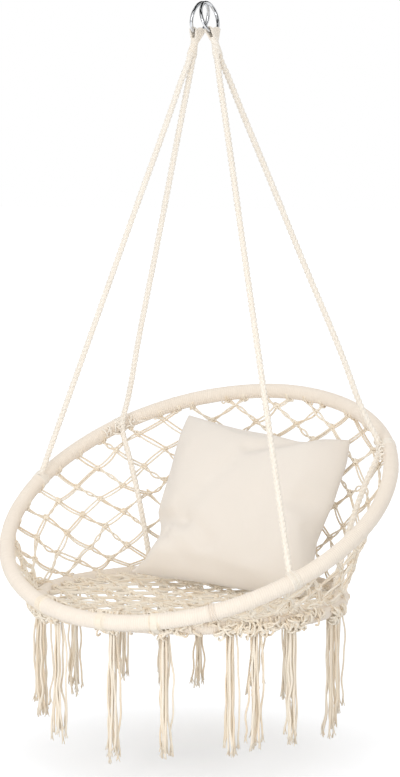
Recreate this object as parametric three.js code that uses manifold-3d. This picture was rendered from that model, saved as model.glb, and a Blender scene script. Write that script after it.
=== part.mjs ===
// Hammock chair: two cord-wrapped hoops joined by a knotted net, hung by ropes from two rings.
// Millimetres, +Z up, the sitter looks towards -Y.
// The origin is where a hook bears inside the tops of the two rings.
import * as THREE from 'three';
import { mergeVertices } from 'three/addons/utils/BufferGeometryUtils.js';
import Module from 'manifold-3d';

const wasm = await Module();
wasm.setup();
const { Manifold, Mesh: SolidMesh } = wasm;

const rad = THREE.MathUtils.degToRad;
const turn = 2 * Math.PI;
const up = new THREE.Vector3(0, 0, 1);

// General clearances
const clearance = 0.3; // between pieces that touch
const slit = 0.4; // where a bent tube or its wrap closes on itself
const overrun = 60; // how far a cutter passes what it cuts

// Hanging rings
const ringRadius = 29.3; // centreline
const ringWire = 3.2; // wire radius
const ringSides = 8;
const ringSegments = 28;

// Ropes
const ropeRadius = 5.5;
const ropeSides = 8;
const eyeSlack = 1.4; // room beside the ring's wire for the swing
const eyeGap = 2.8; // between the two ropes under the rings, which spreads the rings
const legSlack = 0.6; // between the two legs under a ring
const seizingLength = 22;
const seizingWall = 2.2;
const eyeLegEnd = 13; // the bight's legs end this far above the mouth
const ropeTopIn = 6; // the hanging legs start this far inside the mouth
const ropeTopShare = 0.45; // of the rope's radius, at its whipped end
const ropeTopSlack = 1; // extra room for the hanging legs inside the mouth
const legStraight = 5; // the hanging legs follow the seizing this far below the mouth
const legBend = 25; // and bend within this length
const hitchBend = 45; // a rope that passes a hoop bends within this length

// Big hoop, slanted: high at the back
const bigRadius = 385; // centreline
const bigTilt = 28.6; // degrees
const bigForward = 29; // its centre lies this far in front of the hook
const bigDrop = 955.5; // and this far below it
const bigSegments = 36;
const bigJoint = 2.85; // degrees from the front to where its tube meets itself

// Seat hoop, level
const seatRadius = 294; // centreline
const seatSlack = 2; // between the two wraps at the front
const seatLower = 7.7; // the seat hoop's centreline below the big hoop's, at the front
const seatSidestep = -8; // tied a little to the left
const seatSegments = 28;
const seatJoint = 5.53; // degrees from the front to where its tube meets itself

// Steel tube and cord wrap, the same on both hoops
const tubeRadius = 12.5;
const tubeWall = 1.2;
const wrapRadius = 15;
const tubeOuterSides = 8;
const tubeInnerSides = 6;
const wrapSides = 10;

// Net between the hoops
const netColumns = 45; // half meshes in a full turn
const netReach = 16; // half meshes to each side of the back
const netRow = 31.3; // half the height of a mesh
const netCord = 3.8; // half the width of a doubled cord
const netThickness = 5;
const knotWidthShare = 0.26; // of half a mesh, from its centre to the knot's edge
const netPanelColumns = 4; // half meshes in one panel
const loopWidth = 9; // a loop round the hoop, along the hoop
const loopThickness = 3;
const loopSides = 6;

// Net across the seat
const seatNetRise = 8; // above the seat hoop's centreline
const seatNetThickness = 5;
const seatMeshWidth = 116;
const seatMeshLength = 90;
const seatNetCord = 4; // half the width of a doubled cord
const seatNetRim = 9;

// Front lashings
const lashingWidth = 20;
const lashingWall = 4;
const lashingSlack = 1.2;
const lashingOffsets = { left: -141, middle: 2, right: 102 };

// Tassels
const tasselLength = 225;
const tasselRadius = 8;
const tasselFlutes = 4;

// Cushion
const cushionHalf = 190; // from its middle to a corner, along one side
const cushionCrown = 62; // half its thickness
const cushionLean = 35; // degrees
const cushionTurn = 6; // degrees about the vertical
const cushionRoll = 5; // degrees, its right side lower
const cushionAsideShare = 0.27; // to the right, as a share of the room beside it
const cushionSink = 18; // flattened where it rests
const cushionGap = 8; // behind it, to the net
const cushionDrawShare = 0.1; // the sides draw in by this share of the half width
const cushionCells = 12;

// Places worked out from the sizes above
const tilt = rad(bigTilt);
const bigFrontY = -bigForward - bigRadius * Math.cos(tilt);
const bigFrontZ = -bigDrop - bigRadius * Math.sin(tilt);
const seatX = seatSidestep;
const seatY = bigFrontY + 2 * wrapRadius + seatSlack + seatRadius;
const seatZ = bigFrontZ - seatLower;
const ringInner = ringRadius - ringWire;

const eyeReach = ropeRadius + ringWire + clearance + eyeSlack;
const eyeDrop = 2 * ringRadius - ringWire + eyeSlack;
const ringLean = Math.asin((eyeReach + ropeRadius + eyeGap / 2 - ringWire) / eyeDrop);
const ringSpread = ringWire * (1 + Math.sin(ringLean)) + clearance;
const seizingDrop = eyeDrop + 2 * eyeReach + seizingLength;

// Materials
function paint(color, roughness, metalness) {
  return new THREE.MeshStandardMaterial({ color, roughness, metalness });
}
const chrome = paint(0xc9cbcd, 0.12, 1);
const ropeCotton = paint(0xeadfce, 0.9, 0);
const wrapCotton = paint(0xe9dfd0, 0.88, 0);
const netCotton = paint(0xe8dccb, 0.92, 0);
const tubeSteel = paint(0x8c8f92, 0.45, 1);
const cushionCotton = paint(0xe9e1d7, 0.95, 0);

const chair = new THREE.Group();

function add(parent, name, geometry, material) {
  const mesh = new THREE.Mesh(geometry, material);
  mesh.name = name;
  parent.add(mesh);
  return mesh;
}

// Solid from a geometry, and back
function solid(geometry) {
  const bare = geometry.clone();
  bare.deleteAttribute('normal');
  bare.deleteAttribute('uv');
  const merged = mergeVertices(bare);
  const vertProperties = new Float32Array(merged.attributes.position.array);
  const triVerts = new Uint32Array(merged.index.array);
  return new Manifold(new SolidMesh({ numProp: 3, vertProperties, triVerts }));
}

function geometryOf(body) {
  const mesh = body.getMesh();
  const geometry = new THREE.BufferGeometry();
  geometry.setAttribute('position', new THREE.BufferAttribute(new Float32Array(mesh.vertProperties), 3));
  geometry.setIndex(new THREE.BufferAttribute(new Uint32Array(mesh.triVerts), 1));
  return geometry;
}

// A regular polygon as a list of points, with a corner on the x axis
function polygon(radius, sides) {
  return Array.from({ length: sides }, (_, i) => {
    const angle = (i / sides) * turn;
    return new THREE.Vector2(radius * Math.cos(angle), radius * Math.sin(angle));
  });
}

// A curve that is sampled at its own points, so that short bends keep their steps
class Route extends THREE.CatmullRomCurve3 {
  constructor(points) {
    super(points, false, 'centripetal');
  }

  getUtoTmapping(u) {
    return u;
  }
}

// Closed skin over rings of points, each ring with the same count; ends are closed with fans
function loft(rings) {
  const count = rings[0].length;
  const positions = rings.flat().flatMap((p) => [p.x, p.y, p.z]);
  const index = [];
  for (let r = 0; r < rings.length - 1; r += 1) {
    for (let i = 0; i < count; i += 1) {
      const a = r * count + i;
      const b = r * count + ((i + 1) % count);
      index.push(a, b, b + count, a, b + count, a + count);
    }
  }
  const ends = [rings[0], rings[rings.length - 1]];
  ends.forEach((ring, end) => {
    const middle = positions.length / 3;
    const centre = ring.reduce((sum, p) => sum.add(p), new THREE.Vector3()).divideScalar(count);
    positions.push(centre.x, centre.y, centre.z);
    const first = end === 0 ? 0 : (rings.length - 1) * count;
    for (let i = 0; i < count; i += 1) {
      const a = first + i;
      const b = first + ((i + 1) % count);
      index.push(...(end === 0 ? [middle, b, a] : [middle, a, b]));
    }
  });
  const geometry = new THREE.BufferGeometry();
  geometry.setAttribute('position', new THREE.Float32BufferAttribute(positions, 3));
  geometry.setIndex(index);
  return geometry;
}

// A hoop's centreline as a run of chords, and the frame at any angle on it
class Hoop extends THREE.Curve {
  constructor(radius, segments, centre, slant, joint) {
    super();
    this.radius = radius;
    this.segments = segments;
    this.place = new THREE.Matrix4().makeRotationX(slant).setPosition(centre);
    this.start = rad(joint) - turn / 4 + slit / (2 * radius);
    this.sweep = turn - slit / radius;
  }

  getPoint(t, target = new THREE.Vector3()) {
    const angle = this.start + this.sweep * t;
    return target.set(this.radius * Math.cos(angle), this.radius * Math.sin(angle), 0);
  }

  getUtoTmapping(u) {
    return u;
  }

  // Point, direction along the hoop and direction to its centre, at an angle in its own plane.
  // A piece of the given width is moved along until it clears the ends of its chord.
  at(angle, width) {
    const step = this.segments / this.sweep;
    const along = THREE.MathUtils.euclideanModulo(angle - this.start, turn) * step;
    const chord = Math.min(Math.floor(along), this.segments - 1);
    const a = this.getPoint(chord / this.segments);
    const b = this.getPoint((chord + 1) / this.segments);
    const margin = (width / 2 + 2 * clearance) / a.distanceTo(b);
    const share = THREE.MathUtils.clamp(along - chord, margin, 1 - margin);
    const point = a.clone().lerp(b, share).applyMatrix4(this.place);
    const tangent = b.clone().sub(a).normalize().transformDirection(this.place);
    const inward = a.add(b).negate().normalize().transformDirection(this.place);
    return { point, tangent, inward };
  }

  // Closed ring round the whole centreline that holds a section of the given radius
  cutter(radius, sides) {
    const positions = [];
    const index = [];
    const section = polygon(radius / Math.cos(Math.PI / sides), sides);
    for (let i = 0; i < this.segments; i += 1) {
      const point = this.getPoint(i / this.segments);
      const outward = point.clone().normalize();
      section.forEach(({ x, y }) => {
        const corner = point.clone().addScaledVector(outward, x).addScaledVector(up, y);
        corner.applyMatrix4(this.place);
        positions.push(corner.x, corner.y, corner.z);
      });
      for (let j = 0; j < sides; j += 1) {
        const next = (i + 1) % this.segments;
        const side = (j + 1) % sides;
        const a = i * sides + j;
        const b = next * sides + j;
        const c = next * sides + side;
        const d = i * sides + side;
        index.push(a, b, c, a, c, d);
      }
    }
    const geometry = new THREE.BufferGeometry();
    geometry.setAttribute('position', new THREE.Float32BufferAttribute(positions, 3));
    geometry.setIndex(index);
    return solid(geometry);
  }
}

const bigCentre = new THREE.Vector3(0, -bigForward, -bigDrop);
const seatCentre = new THREE.Vector3(seatX, seatY, seatZ);
const bigHoop = new Hoop(bigRadius, bigSegments, bigCentre, tilt, bigJoint);
const seatHoop = new Hoop(seatRadius, seatSegments, seatCentre, 0, seatJoint);

// Hollow section swept along a hoop, open at the slit
function hoopSleeve(hoop, outer, outerSides, inner, innerSides) {
  const shape = new THREE.Shape(polygon(outer, outerSides));
  shape.holes.push(new THREE.Path(polygon(inner, innerSides)));
  const options = { steps: hoop.segments, extrudePath: hoop, bevelEnabled: false };
  return new THREE.ExtrudeGeometry(shape, options).applyMatrix4(hoop.place);
}

function addHoop(name, hoop) {
  const tube = hoopSleeve(hoop, tubeRadius, tubeOuterSides, tubeRadius - tubeWall, tubeInnerSides);
  const wrap = hoopSleeve(hoop, wrapRadius, wrapSides, tubeRadius + clearance, tubeOuterSides);
  add(chair, `${name}_hoop_tube`, tube, tubeSteel);
  add(chair, `${name}_hoop_wrap`, wrap, wrapCotton);
}

// Rings, each with the rope's bight and the seizing under it, in a leaning group
function eyeGeometry() {
  const reach = eyeReach;
  const arcZ = -eyeDrop;
  const leg = ropeRadius + legSlack / 2;
  const end = -seizingDrop + eyeLegEnd;
  const twist = reach * Math.SQRT1_2;
  const half = [
    new THREE.Vector3(0, -leg, end),
    new THREE.Vector3(0, -leg, arcZ - 2.6 * reach),
    new THREE.Vector3(0, -leg, arcZ - 2 * reach),
    new THREE.Vector3(-0.5 * twist, -0.92 * leg, arcZ - 1.4 * reach),
    new THREE.Vector3(-0.92 * reach, -0.4 * leg, arcZ - 0.75 * reach),
    new THREE.Vector3(-reach, 0, arcZ),
    new THREE.Vector3(-twist, 0, arcZ + twist),
  ];
  const top = new THREE.Vector3(0, 0, arcZ + reach);
  const back = half.map((p) => new THREE.Vector3(-p.x, -p.y, p.z)).reverse();
  const route = new Route([...half, top, ...back]);
  const section = new THREE.Shape(polygon(ropeRadius, ropeSides));
  const steps = 2 * half.length;
  return new THREE.ExtrudeGeometry(section, { steps, extrudePath: route, bevelEnabled: false });
}

// An oval with straight sides, its long way along y
function ovalPoints(radius, spread, sides) {
  const points = [];
  for (let i = 0; i <= sides; i += 1) {
    const angle = (i / sides) * Math.PI;
    points.push(new THREE.Vector2(radius * Math.cos(angle), spread + radius * Math.sin(angle)));
  }
  return [...points, ...points.map((p) => p.clone().negate())];
}

function seizingGeometry() {
  const spread = ropeRadius + legSlack / 2;
  const inner = ropeRadius + clearance + ropeTopSlack;
  const ovalSides = 5;
  const shape = new THREE.Shape(ovalPoints(inner + seizingWall, spread, ovalSides));
  shape.holes.push(new THREE.Path(ovalPoints(inner, spread, ovalSides)));
  const options = { depth: seizingLength, bevelEnabled: false };
  return new THREE.ExtrudeGeometry(shape, options).translate(0, 0, -seizingDrop);
}

function addSide(side, sign) {
  const group = new THREE.Group();
  group.position.x = sign * ringSpread;
  group.rotation.y = -sign * ringLean;
  chair.add(group);
  const ring = new THREE.TorusGeometry(ringRadius, ringWire, ringSides, ringSegments);
  ring.rotateY(turn / 4).translate(0, 0, -ringInner);
  add(group, `ring_${side}`, ring, chrome);
  add(group, `rope_eye_${side}`, eyeGeometry(), ropeCotton);
  add(group, `seizing_${side}`, seizingGeometry(), ropeCotton);
}

// The point on the side's own axis at a distance below the hook
function onLean(sign, drop, y) {
  const lean = ringLean;
  const x = sign * (ringSpread + drop * Math.sin(lean));
  return new THREE.Vector3(x, y, -drop * Math.cos(lean));
}

// One round turn of rope about a hoop, as wide inside as the wrap's corners need
const hitchSegments = 12;
const hitchRadius = (wrapRadius + clearance) / Math.cos(Math.PI / hitchSegments) + ropeRadius;

function hitch(frame) {
  const ring = new THREE.TorusGeometry(hitchRadius, ropeRadius, ropeSides, hitchSegments);
  const spin = new THREE.Quaternion().setFromUnitVectors(up, frame.tangent);
  return solid(ring.applyQuaternion(spin).translate(...frame.point.toArray()));
}

// The room that the six hitches take from the nets
const hitchRooms = [];

function keepHitchRoom(frame) {
  const reach = (hitchRadius + ropeRadius + clearance) / Math.cos(Math.PI / hitchSegments);
  const depth = 2 * (ropeRadius + clearance);
  const shape = new THREE.Shape(polygon(reach, hitchSegments));
  const plug = new THREE.ExtrudeGeometry(shape, { depth, bevelEnabled: false });
  const spin = new THREE.Quaternion().setFromUnitVectors(up, frame.tangent);
  plug.translate(0, 0, -depth / 2).applyQuaternion(spin).translate(...frame.point.toArray());
  hitchRooms.push({ point: frame.point, body: solid(plug) });
}

// Direction square to the hoop at a frame, nearest to the wanted one
function square(frame, wanted) {
  return wanted.clone().projectOnPlane(frame.tangent).normalize();
}

// A hanging leg: its whipped top lies in the seizing's mouth, its foot is hitched to a hoop
function legGeometry(sign, frontOrBack, below, turns) {
  const y = frontOrBack * (ropeRadius + legSlack / 2);
  const start = [
    onLean(sign, seizingDrop - ropeTopIn, y),
    onLean(sign, seizingDrop, y),
    onLean(sign, seizingDrop + legStraight, y),
  ];
  const bend = start[2].clone().lerp(below[0], legBend / start[2].distanceTo(below[0]));
  const axis = start[2].clone().sub(start[0]).normalize();
  bend.addScaledVector(axis, legStraight / 2).sub(new THREE.Vector3(0, 0, -legStraight / 2));
  const middle = bend.clone().lerp(below[0], 1 / 2);
  const route = new Route([...start, bend, middle, ...below]);
  const section = new THREE.Shape(polygon(ropeRadius, ropeSides));
  const steps = 2 * (route.points.length - 1);
  const leg = new THREE.ExtrudeGeometry(section, { steps, extrudePath: route, bevelEnabled: false });
  taperTop(leg, start[0], axis);
  turns.forEach(keepHitchRoom);
  return geometryOf(turns.reduce((sum, frame) => sum.add(hitch(frame)), solid(leg)));
}

// The whipped end: inside the mouth the corners draw in towards the rope's middle
function taperTop(geometry, start, axis) {
  const position = geometry.attributes.position;
  const corner = new THREE.Vector3();
  for (let i = 0; i < position.count; i += 1) {
    corner.fromBufferAttribute(position, i).sub(start);
    const along = corner.dot(axis);
    if (along < ropeTopIn && corner.length() < 2 * ropeTopIn) {
      const share = THREE.MathUtils.lerp(ropeTopShare, 1, Math.max(along / ropeTopIn, 0));
      corner.addScaledVector(axis, -along).multiplyScalar(share);
      corner.addScaledVector(axis, along).add(start);
      position.setXYZ(i, corner.x, corner.y, corner.z);
    }
  }
}

// Angles on the hoops where the ropes are hitched, in degrees from the right towards the back
const frontHitchAngles = { left: 176.5, right: -34 };
const backHitchAngles = { left: 143.5, right: 34 };
const seatHitchAngles = { left: 138, right: 34 };

function addFrontLeg(side, sign) {
  const frame = bigHoop.at(rad(frontHitchAngles[side]), 2 * ropeRadius);
  const upward = square(frame, onLean(sign, seizingDrop, 0).sub(frame.point));
  const foot = frame.point.clone().addScaledVector(upward, hitchRadius);
  const name = `rope_front_${side}`;
  add(chair, name, legGeometry(sign, -1, [foot], [frame]), ropeCotton);
}

function addBackLeg(side, sign) {
  const big = bigHoop.at(rad(backHitchAngles[side]), 2 * ropeRadius);
  const seat = seatHoop.at(rad(seatHitchAngles[side]), 2 * ropeRadius);
  const inward = square(big, seatCentre.clone().setZ(big.point.z).sub(big.point));
  const pass = big.point.clone().addScaledVector(inward, hitchRadius);
  const rise = square(seat, seat.inward.clone().add(up));
  const foot = seat.point.clone().addScaledVector(rise, hitchRadius);
  const above = pass.clone().add(onLean(sign, seizingDrop, 0).sub(pass).setLength(hitchBend));
  const below = pass.clone().add(foot.clone().sub(pass).setLength(hitchBend));
  const name = `rope_back_${side}`;
  add(chair, name, legGeometry(sign, 1, [above, pass, below, foot], [big, seat]), ropeCotton);
}

// The net's surface. A column is an angle about the seat hoop's middle, a row is a height.
const columnAngle = turn / netColumns;

function netAngle(column) {
  return turn / 4 + column * columnAngle;
}

// The big hoop's centreline where a column meets it, and its angle on the hoop
function topOf(column) {
  const angle = netAngle(column);
  const direction = new THREE.Vector2(Math.cos(angle), Math.sin(angle));
  const scale = new THREE.Vector2(1 / bigRadius, 1 / (bigRadius * Math.cos(tilt)));
  const from = new THREE.Vector2(seatX - bigCentre.x, seatY - bigCentre.y).multiply(scale);
  const way = direction.clone().multiply(scale);
  const a = way.lengthSq();
  const b = from.dot(way);
  const c = from.lengthSq() - 1;
  const distance = (Math.sqrt(b * b - a * c) - b) / a;
  const hit = from.addScaledVector(way, distance);
  const x = seatX + direction.x * distance;
  const y = seatY + direction.y * distance;
  const z = bigCentre.z + (y - bigCentre.y) * Math.tan(tilt);
  return { point: new THREE.Vector3(x, y, z), angle: Math.atan2(hit.y, hit.x) };
}

function footOf(column) {
  const angle = netAngle(column);
  const x = seatX + seatRadius * Math.cos(angle);
  return new THREE.Vector3(x, seatY + seatRadius * Math.sin(angle), seatZ);
}

function topRow(column) {
  return (topOf(column).point.z - seatZ) / netRow;
}

// Below the first row of knots the cords draw together, to meet at the top of the seat hoop's wrap
function netPoint(column, row) {
  const seatTop = wrapRadius - netCord / 2;
  const height = row < 1 ? THREE.MathUtils.lerp(seatTop, netRow, row) : netRow * row;
  return footOf(column).lerp(topOf(column).point, height / netRow / topRow(column));
}

function netNormal(column, row) {
  const step = 1 / netColumns;
  const across = netPoint(column + step, row).sub(netPoint(column - step, row));
  const rise = netPoint(column, row + step).sub(netPoint(column, row - step));
  return across.cross(rise).normalize();
}

// Keeps the part of a convex outline where inside(point) is zero or more
function clip(points, inside) {
  const kept = [];
  points.forEach((p, i) => {
    const q = points[(i + 1) % points.length];
    const a = inside(p);
    const b = inside(q);
    if (a >= 0) kept.push(p);
    if (a * b < 0) kept.push(p.clone().lerp(q, a / (a - b)));
  });
  return kept;
}

function area(points) {
  return Math.abs(THREE.ShapeUtils.area(points));
}

// Drops corners that a cut has left on top of each other, or in line with their neighbours
function tidy(points) {
  const nearShare = 1 / 50;
  const near = nearShare * Math.sqrt(area(points));
  const apart = points.filter((p, i) => p.distanceTo(points[(i + 1) % points.length]) > near);
  return apart.filter((p, i) => {
    const before = p.clone().sub(apart.at(i - 1)).normalize();
    const after = apart[(i + 1) % apart.length].clone().sub(p).normalize();
    return Math.abs(before.cross(after)) > nearShare;
  });
}

// One mesh of the net: a diamond with its side corners cut back for the knots
function meshHole(halfWidth, halfHeight, cord) {
  const shrink = 1 - (cord * Math.hypot(halfWidth, halfHeight)) / (halfWidth * halfHeight);
  const knot = 1 - knotWidthShare;
  const flat = Math.max(shrink - knot, 0);
  return [
    [knot, flat],
    [0, shrink],
    [-knot, flat],
    [-knot, -flat],
    [0, -shrink],
    [knot, -flat],
  ].map(([x, y]) => new THREE.Vector2(x, y));
}

// A flat sheet of the given depth, with each hole of its shape punched right through
function perforated(shape, depth) {
  const sheet = solid(new THREE.ExtrudeGeometry(shape.outline, { depth, bevelEnabled: false }));
  return shape.holes.reduce((rest, hole) => {
    const options = { depth: 2 * depth, bevelEnabled: false };
    const punch = new THREE.ExtrudeGeometry(new THREE.Shape(hole), options);
    return rest.subtract(solid(punch.translate(0, 0, -depth / 2)));
  }, sheet);
}

// A panel's side follows the cords from knot to knot, up to the big hoop's centreline
function panelSide(column, shift) {
  const knot = (row) => new THREE.Vector2(column + shift + (row % 2 === 0 ? 1 : 0), row);
  const points = [knot(0)];
  let next = knot(1);
  while (next.y < topRow(next.x)) {
    points.push(next);
    next = knot(points.length);
  }
  const last = points[points.length - 1];
  let low = 0;
  let high = 1;
  for (let i = 0; i < 24; i += 1) {
    const middle = last.clone().lerp(next, (low + high) / 2);
    if (middle.y < topRow(middle.x)) low = (low + high) / 2;
    else high = (low + high) / 2;
  }
  return [...points, last.clone().lerp(next, low)];
}

function panelSheet(from, to) {
  const halfWidth = columnAngle * ((seatRadius + bigRadius) / 2);
  const hole = meshHole(halfWidth, netRow, netCord);
  const marginRow = netCord / netRow;
  const smallest = area(hole) / 12;
  const gap = clearance / (columnAngle * seatRadius);
  const left = panelSide(from, gap);
  const right = panelSide(to, -gap);
  const foot = [];
  for (let c = from + 2; c < to + 1; c += 1) foot.push(new THREE.Vector2(c, 0));
  const head = [];
  const first = left[left.length - 1].x;
  const last = right[right.length - 1].x;
  const parts = Math.ceil(last - first);
  for (let i = 1; i < parts; i += 1) {
    const c = first + ((last - first) * i) / parts;
    head.push(new THREE.Vector2(c, topRow(c)));
  }
  const outline = new THREE.Shape([...foot, ...right, ...head.reverse(), ...left.reverse()]);
  const sheet = { outline, holes: [] };
  for (let c = from + 1; c <= to; c += 1) {
    for (let r = Math.abs(c) % 2; r < topRow(c) + 1; r += 2) {
      const step = r % 2 === 0 ? 1 : 0;
      if (c <= from + step || c >= to + step) continue;
      let open = hole.map((p) => new THREE.Vector2(p.x + c, p.y + r));
      open = clip(open, (p) => p.y - marginRow);
      if (open.length > 2) open = clip(open, (p) => topRow(p.x) - marginRow - p.y);
      if (open.length > 2 && area(open) > smallest) sheet.holes.push(tidy(open));
    }
  }
  const flat = geometryOf(perforated(sheet, 1));
  const position = flat.attributes.position;
  for (let i = 0; i < position.count; i += 1) {
    const column = position.getX(i);
    const row = position.getY(i);
    const offset = (position.getZ(i) - 1 / 2) * netThickness;
    const corner = netPoint(column, row).addScaledVector(netNormal(column, row), offset);
    position.setXYZ(i, corner.x, corner.y, corner.z);
  }
  return solid(flat);
}

// A loop of cord round a hoop, or the room for it in the next panel
function loop(frame, spare) {
  const inner = (wrapRadius + clearance) / Math.cos(Math.PI / loopSides);
  const shape = new THREE.Shape(polygon(inner + loopThickness + 2 * spare, loopSides));
  if (spare === 0) shape.holes.push(new THREE.Path(polygon(inner, loopSides)));
  const depth = loopWidth + 2 * spare;
  const band = new THREE.ExtrudeGeometry(shape, { depth, bevelEnabled: false });
  band.translate(0, 0, -depth / 2);
  const side = new THREE.Vector3().crossVectors(frame.tangent, frame.inward);
  const basis = new THREE.Matrix4().makeBasis(frame.inward, side, frame.tangent);
  return solid(band.applyMatrix4(basis).translate(...frame.point.toArray()));
}

// Columns where the cords reach the big hoop: each line of the net is followed up to the wrap
function topLoopColumns() {
  const reach = (wrapRadius + loopThickness) / netRow;
  const columns = [];
  for (let line = 1 - 2 * netReach; line < 3 * netReach; line += 2) {
    [1, -1].forEach((slope) => {
      let column = 0;
      for (let i = 0; i < 40; i += 1) {
        column += ((topRow(column) - reach - line) * slope - column) / 2;
      }
      if (Math.abs(column) < netReach) columns.push(column);
    });
  }
  return columns.sort((a, b) => a - b);
}

// The loops over the big hoop, each where the first of its cords arrives
function topLoops() {
  const apart = loopWidth / 2 + ropeRadius + clearance;
  const columns = [];
  topLoopColumns().forEach((c) => {
    const last = columns.length > 0 ? columns[columns.length - 1] : -2 * netReach;
    if ((c - last) * columnAngle * seatRadius > loopWidth + clearance) columns.push(c);
  });
  return columns
    .map((column) => ({ column, frame: bigHoop.at(topOf(column).angle, loopWidth) }))
    .filter(({ frame }) => hitchRooms.every((r) => r.point.distanceTo(frame.point) > apart));
}

function addBackNet() {
  const bigRoom = bigHoop.cutter(wrapRadius + clearance, wrapSides);
  const seatRoom = seatHoop.cutter(wrapRadius + clearance, wrapSides);
  const loops = topLoops();
  const panels = (2 * netReach) / netPanelColumns;
  for (let i = 0; i < panels; i += 1) {
    const from = -netReach + i * netPanelColumns;
    const to = from + netPanelColumns;
    let panel = panelSheet(from, to).subtract(bigRoom).subtract(seatRoom);
    hitchRooms.forEach((room) => {
      panel = panel.subtract(room.body);
    });
    loops.filter(({ column }) => column > from - 1 && column < to + 2).forEach((place) => {
      const band = loop(place.frame, 0);
      if (!place.taken && panel.intersect(band).volume() > 0) {
        panel = panel.add(band);
        place.taken = true;
      } else {
        panel = panel.subtract(loop(place.frame, clearance));
      }
    });
    const pieces = panel.decompose();
    pieces.sort((a, b) => b.volume() - a.volume());
    add(chair, `back_net_${i + 1}`, geometryOf(pieces[0]), netCotton);
  }
}

function addSeatNet() {
  const low = seatNetRise - seatNetThickness / 2;
  const beside = Math.sqrt(wrapRadius * wrapRadius - low * low) + clearance;
  const rim = [];
  const inside = [];
  for (let i = 0; i < seatSegments; i += 1) {
    const direction = seatHoop.getPoint(i / seatSegments).normalize();
    rim.push(new THREE.Vector2(direction.x, direction.y).multiplyScalar(seatRadius - beside));
    inside.push(rim[i].clone().setLength(seatRadius - beside - seatNetRim));
  }
  const sheet = { outline: new THREE.Shape(rim), holes: [] };
  const halfWidth = seatMeshWidth / 2;
  const halfLength = seatMeshLength / 2;
  const shrink = 1 - (seatNetCord * Math.hypot(halfWidth, halfLength)) / (halfWidth * halfLength);
  const diamond = [[shrink, 0], [0, shrink], [-shrink, 0], [0, -shrink]];
  const columns = Math.ceil(seatRadius / halfWidth);
  const rows = Math.ceil(seatRadius / halfLength);
  const smallest = (halfWidth * halfLength) / 5;
  for (let c = -columns; c <= columns; c += 1) {
    for (let r = -rows; r <= rows; r += 1) {
      if ((c + r) % 2 !== 0) continue;
      let open = diamond.map(([x, y]) => new THREE.Vector2((c + x) * halfWidth, (r + y) * halfLength));
      inside.forEach((p, i) => {
        const q = inside[(i + 1) % inside.length];
        if (open.length > 2) open = clip(open, (v) => (q.x - p.x) * (v.y - p.y) - (q.y - p.y) * (v.x - p.x));
      });
      if (open.length > 2 && area(open) > smallest) sheet.holes.push(tidy(open));
    }
  }
  let body = perforated(sheet, seatNetThickness).translate(seatX, seatY, seatZ + low);
  hitchRooms.forEach((room) => {
    body = body.subtract(room.body);
  });
  lashings.forEach(({ frame }) => {
    body = body.subtract(lashingRoom(frame));
  });
  const pieces = body.decompose();
  pieces.sort((a, b) => b.volume() - a.volume());
  add(chair, 'seat_net', geometryOf(pieces[0]), netCotton);
}

// A band round both hoops, set square to the middle of their two directions
function lashingFrame(offset) {
  const big = bigHoop.at(-Math.acos(offset / bigRadius), lashingWidth);
  const seat = seatHoop.at(-Math.acos((offset - seatX) / seatRadius), lashingWidth);
  const along = big.tangent.clone().add(seat.tangent).normalize();
  const across = seat.point.clone().sub(big.point).projectOnPlane(along);
  const spread = across.length() / 2;
  const y = across.normalize();
  const x = y.clone().cross(along);
  const middle = big.point.clone().add(seat.point).divideScalar(2);
  const place = new THREE.Matrix4().makeBasis(x, y, along).setPosition(middle);
  const skew = (lashingWidth / 2) * Math.tan(big.tangent.angleTo(seat.tangent) / 2);
  const reach = wrapRadius + clearance + skew + lashingSlack + lashingWall;
  const dip = (lashingWidth / 2) * Math.abs(along.z);
  return { place, spread, reach, dip, seat };
}

const lashingOval = 8;

function lashingGeometry({ place, spread, reach }) {
  const shape = new THREE.Shape(ovalPoints(reach, spread, lashingOval));
  shape.holes.push(new THREE.Path(ovalPoints(reach - lashingWall, spread, lashingOval)));
  const band = new THREE.ExtrudeGeometry(shape, { depth: lashingWidth, bevelEnabled: false });
  return band.translate(0, 0, -lashingWidth / 2).applyMatrix4(place);
}

function lashingRoom({ place, spread, reach }) {
  const shape = new THREE.Shape(ovalPoints(reach + clearance, spread, lashingOval));
  const depth = lashingWidth + 2 * clearance;
  const plug = new THREE.ExtrudeGeometry(shape, { depth, bevelEnabled: false });
  return solid(plug.translate(0, 0, -depth / 2).applyMatrix4(place));
}

const lashings = Object.entries(lashingOffsets).map(([side, offset]) => ({
  name: `front_lashing_${side}`,
  frame: lashingFrame(offset),
}));

// Tassels: angle on the seat hoop in degrees, and the share of the full length.
// The last three hang under the lashings.
const tasselAngles = [6, 38.5, 78, 94, 118, 134, 150, 173, 214, 226, 316, 326, 341];
const tasselLengthShares = [
  1.03, 0.99, 1.08, 1.06, 1.03, 0.98, 0.91, 0.97, 0.82, 0.9, 1.01, 0.99, 0.99, 1, 1.07, 1,
];
// Down a tassel: how far down and how wide, as shares of its length and of its radius
const tasselDownShares = [0, 0.4, 0.85, 1];
const tasselWideShares = [0.8, 0.85, 1.1, 1.45];
const fluteShare = 0.72; // a flute's depth, as the share of the radius that is left

function tasselGeometry(length, phase) {
  const count = 2 * tasselFlutes;
  const rings = tasselDownShares.map((down, i) => Array.from({ length: count }, (_, j) => {
    const reach = tasselRadius * tasselWideShares[i] * (j % 2 === 0 ? 1 : fluteShare);
    const angle = phase - (j / count) * turn;
    return new THREE.Vector3(reach * Math.cos(angle), reach * Math.sin(angle), -down * length);
  }));
  return loft(rings);
}

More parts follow.
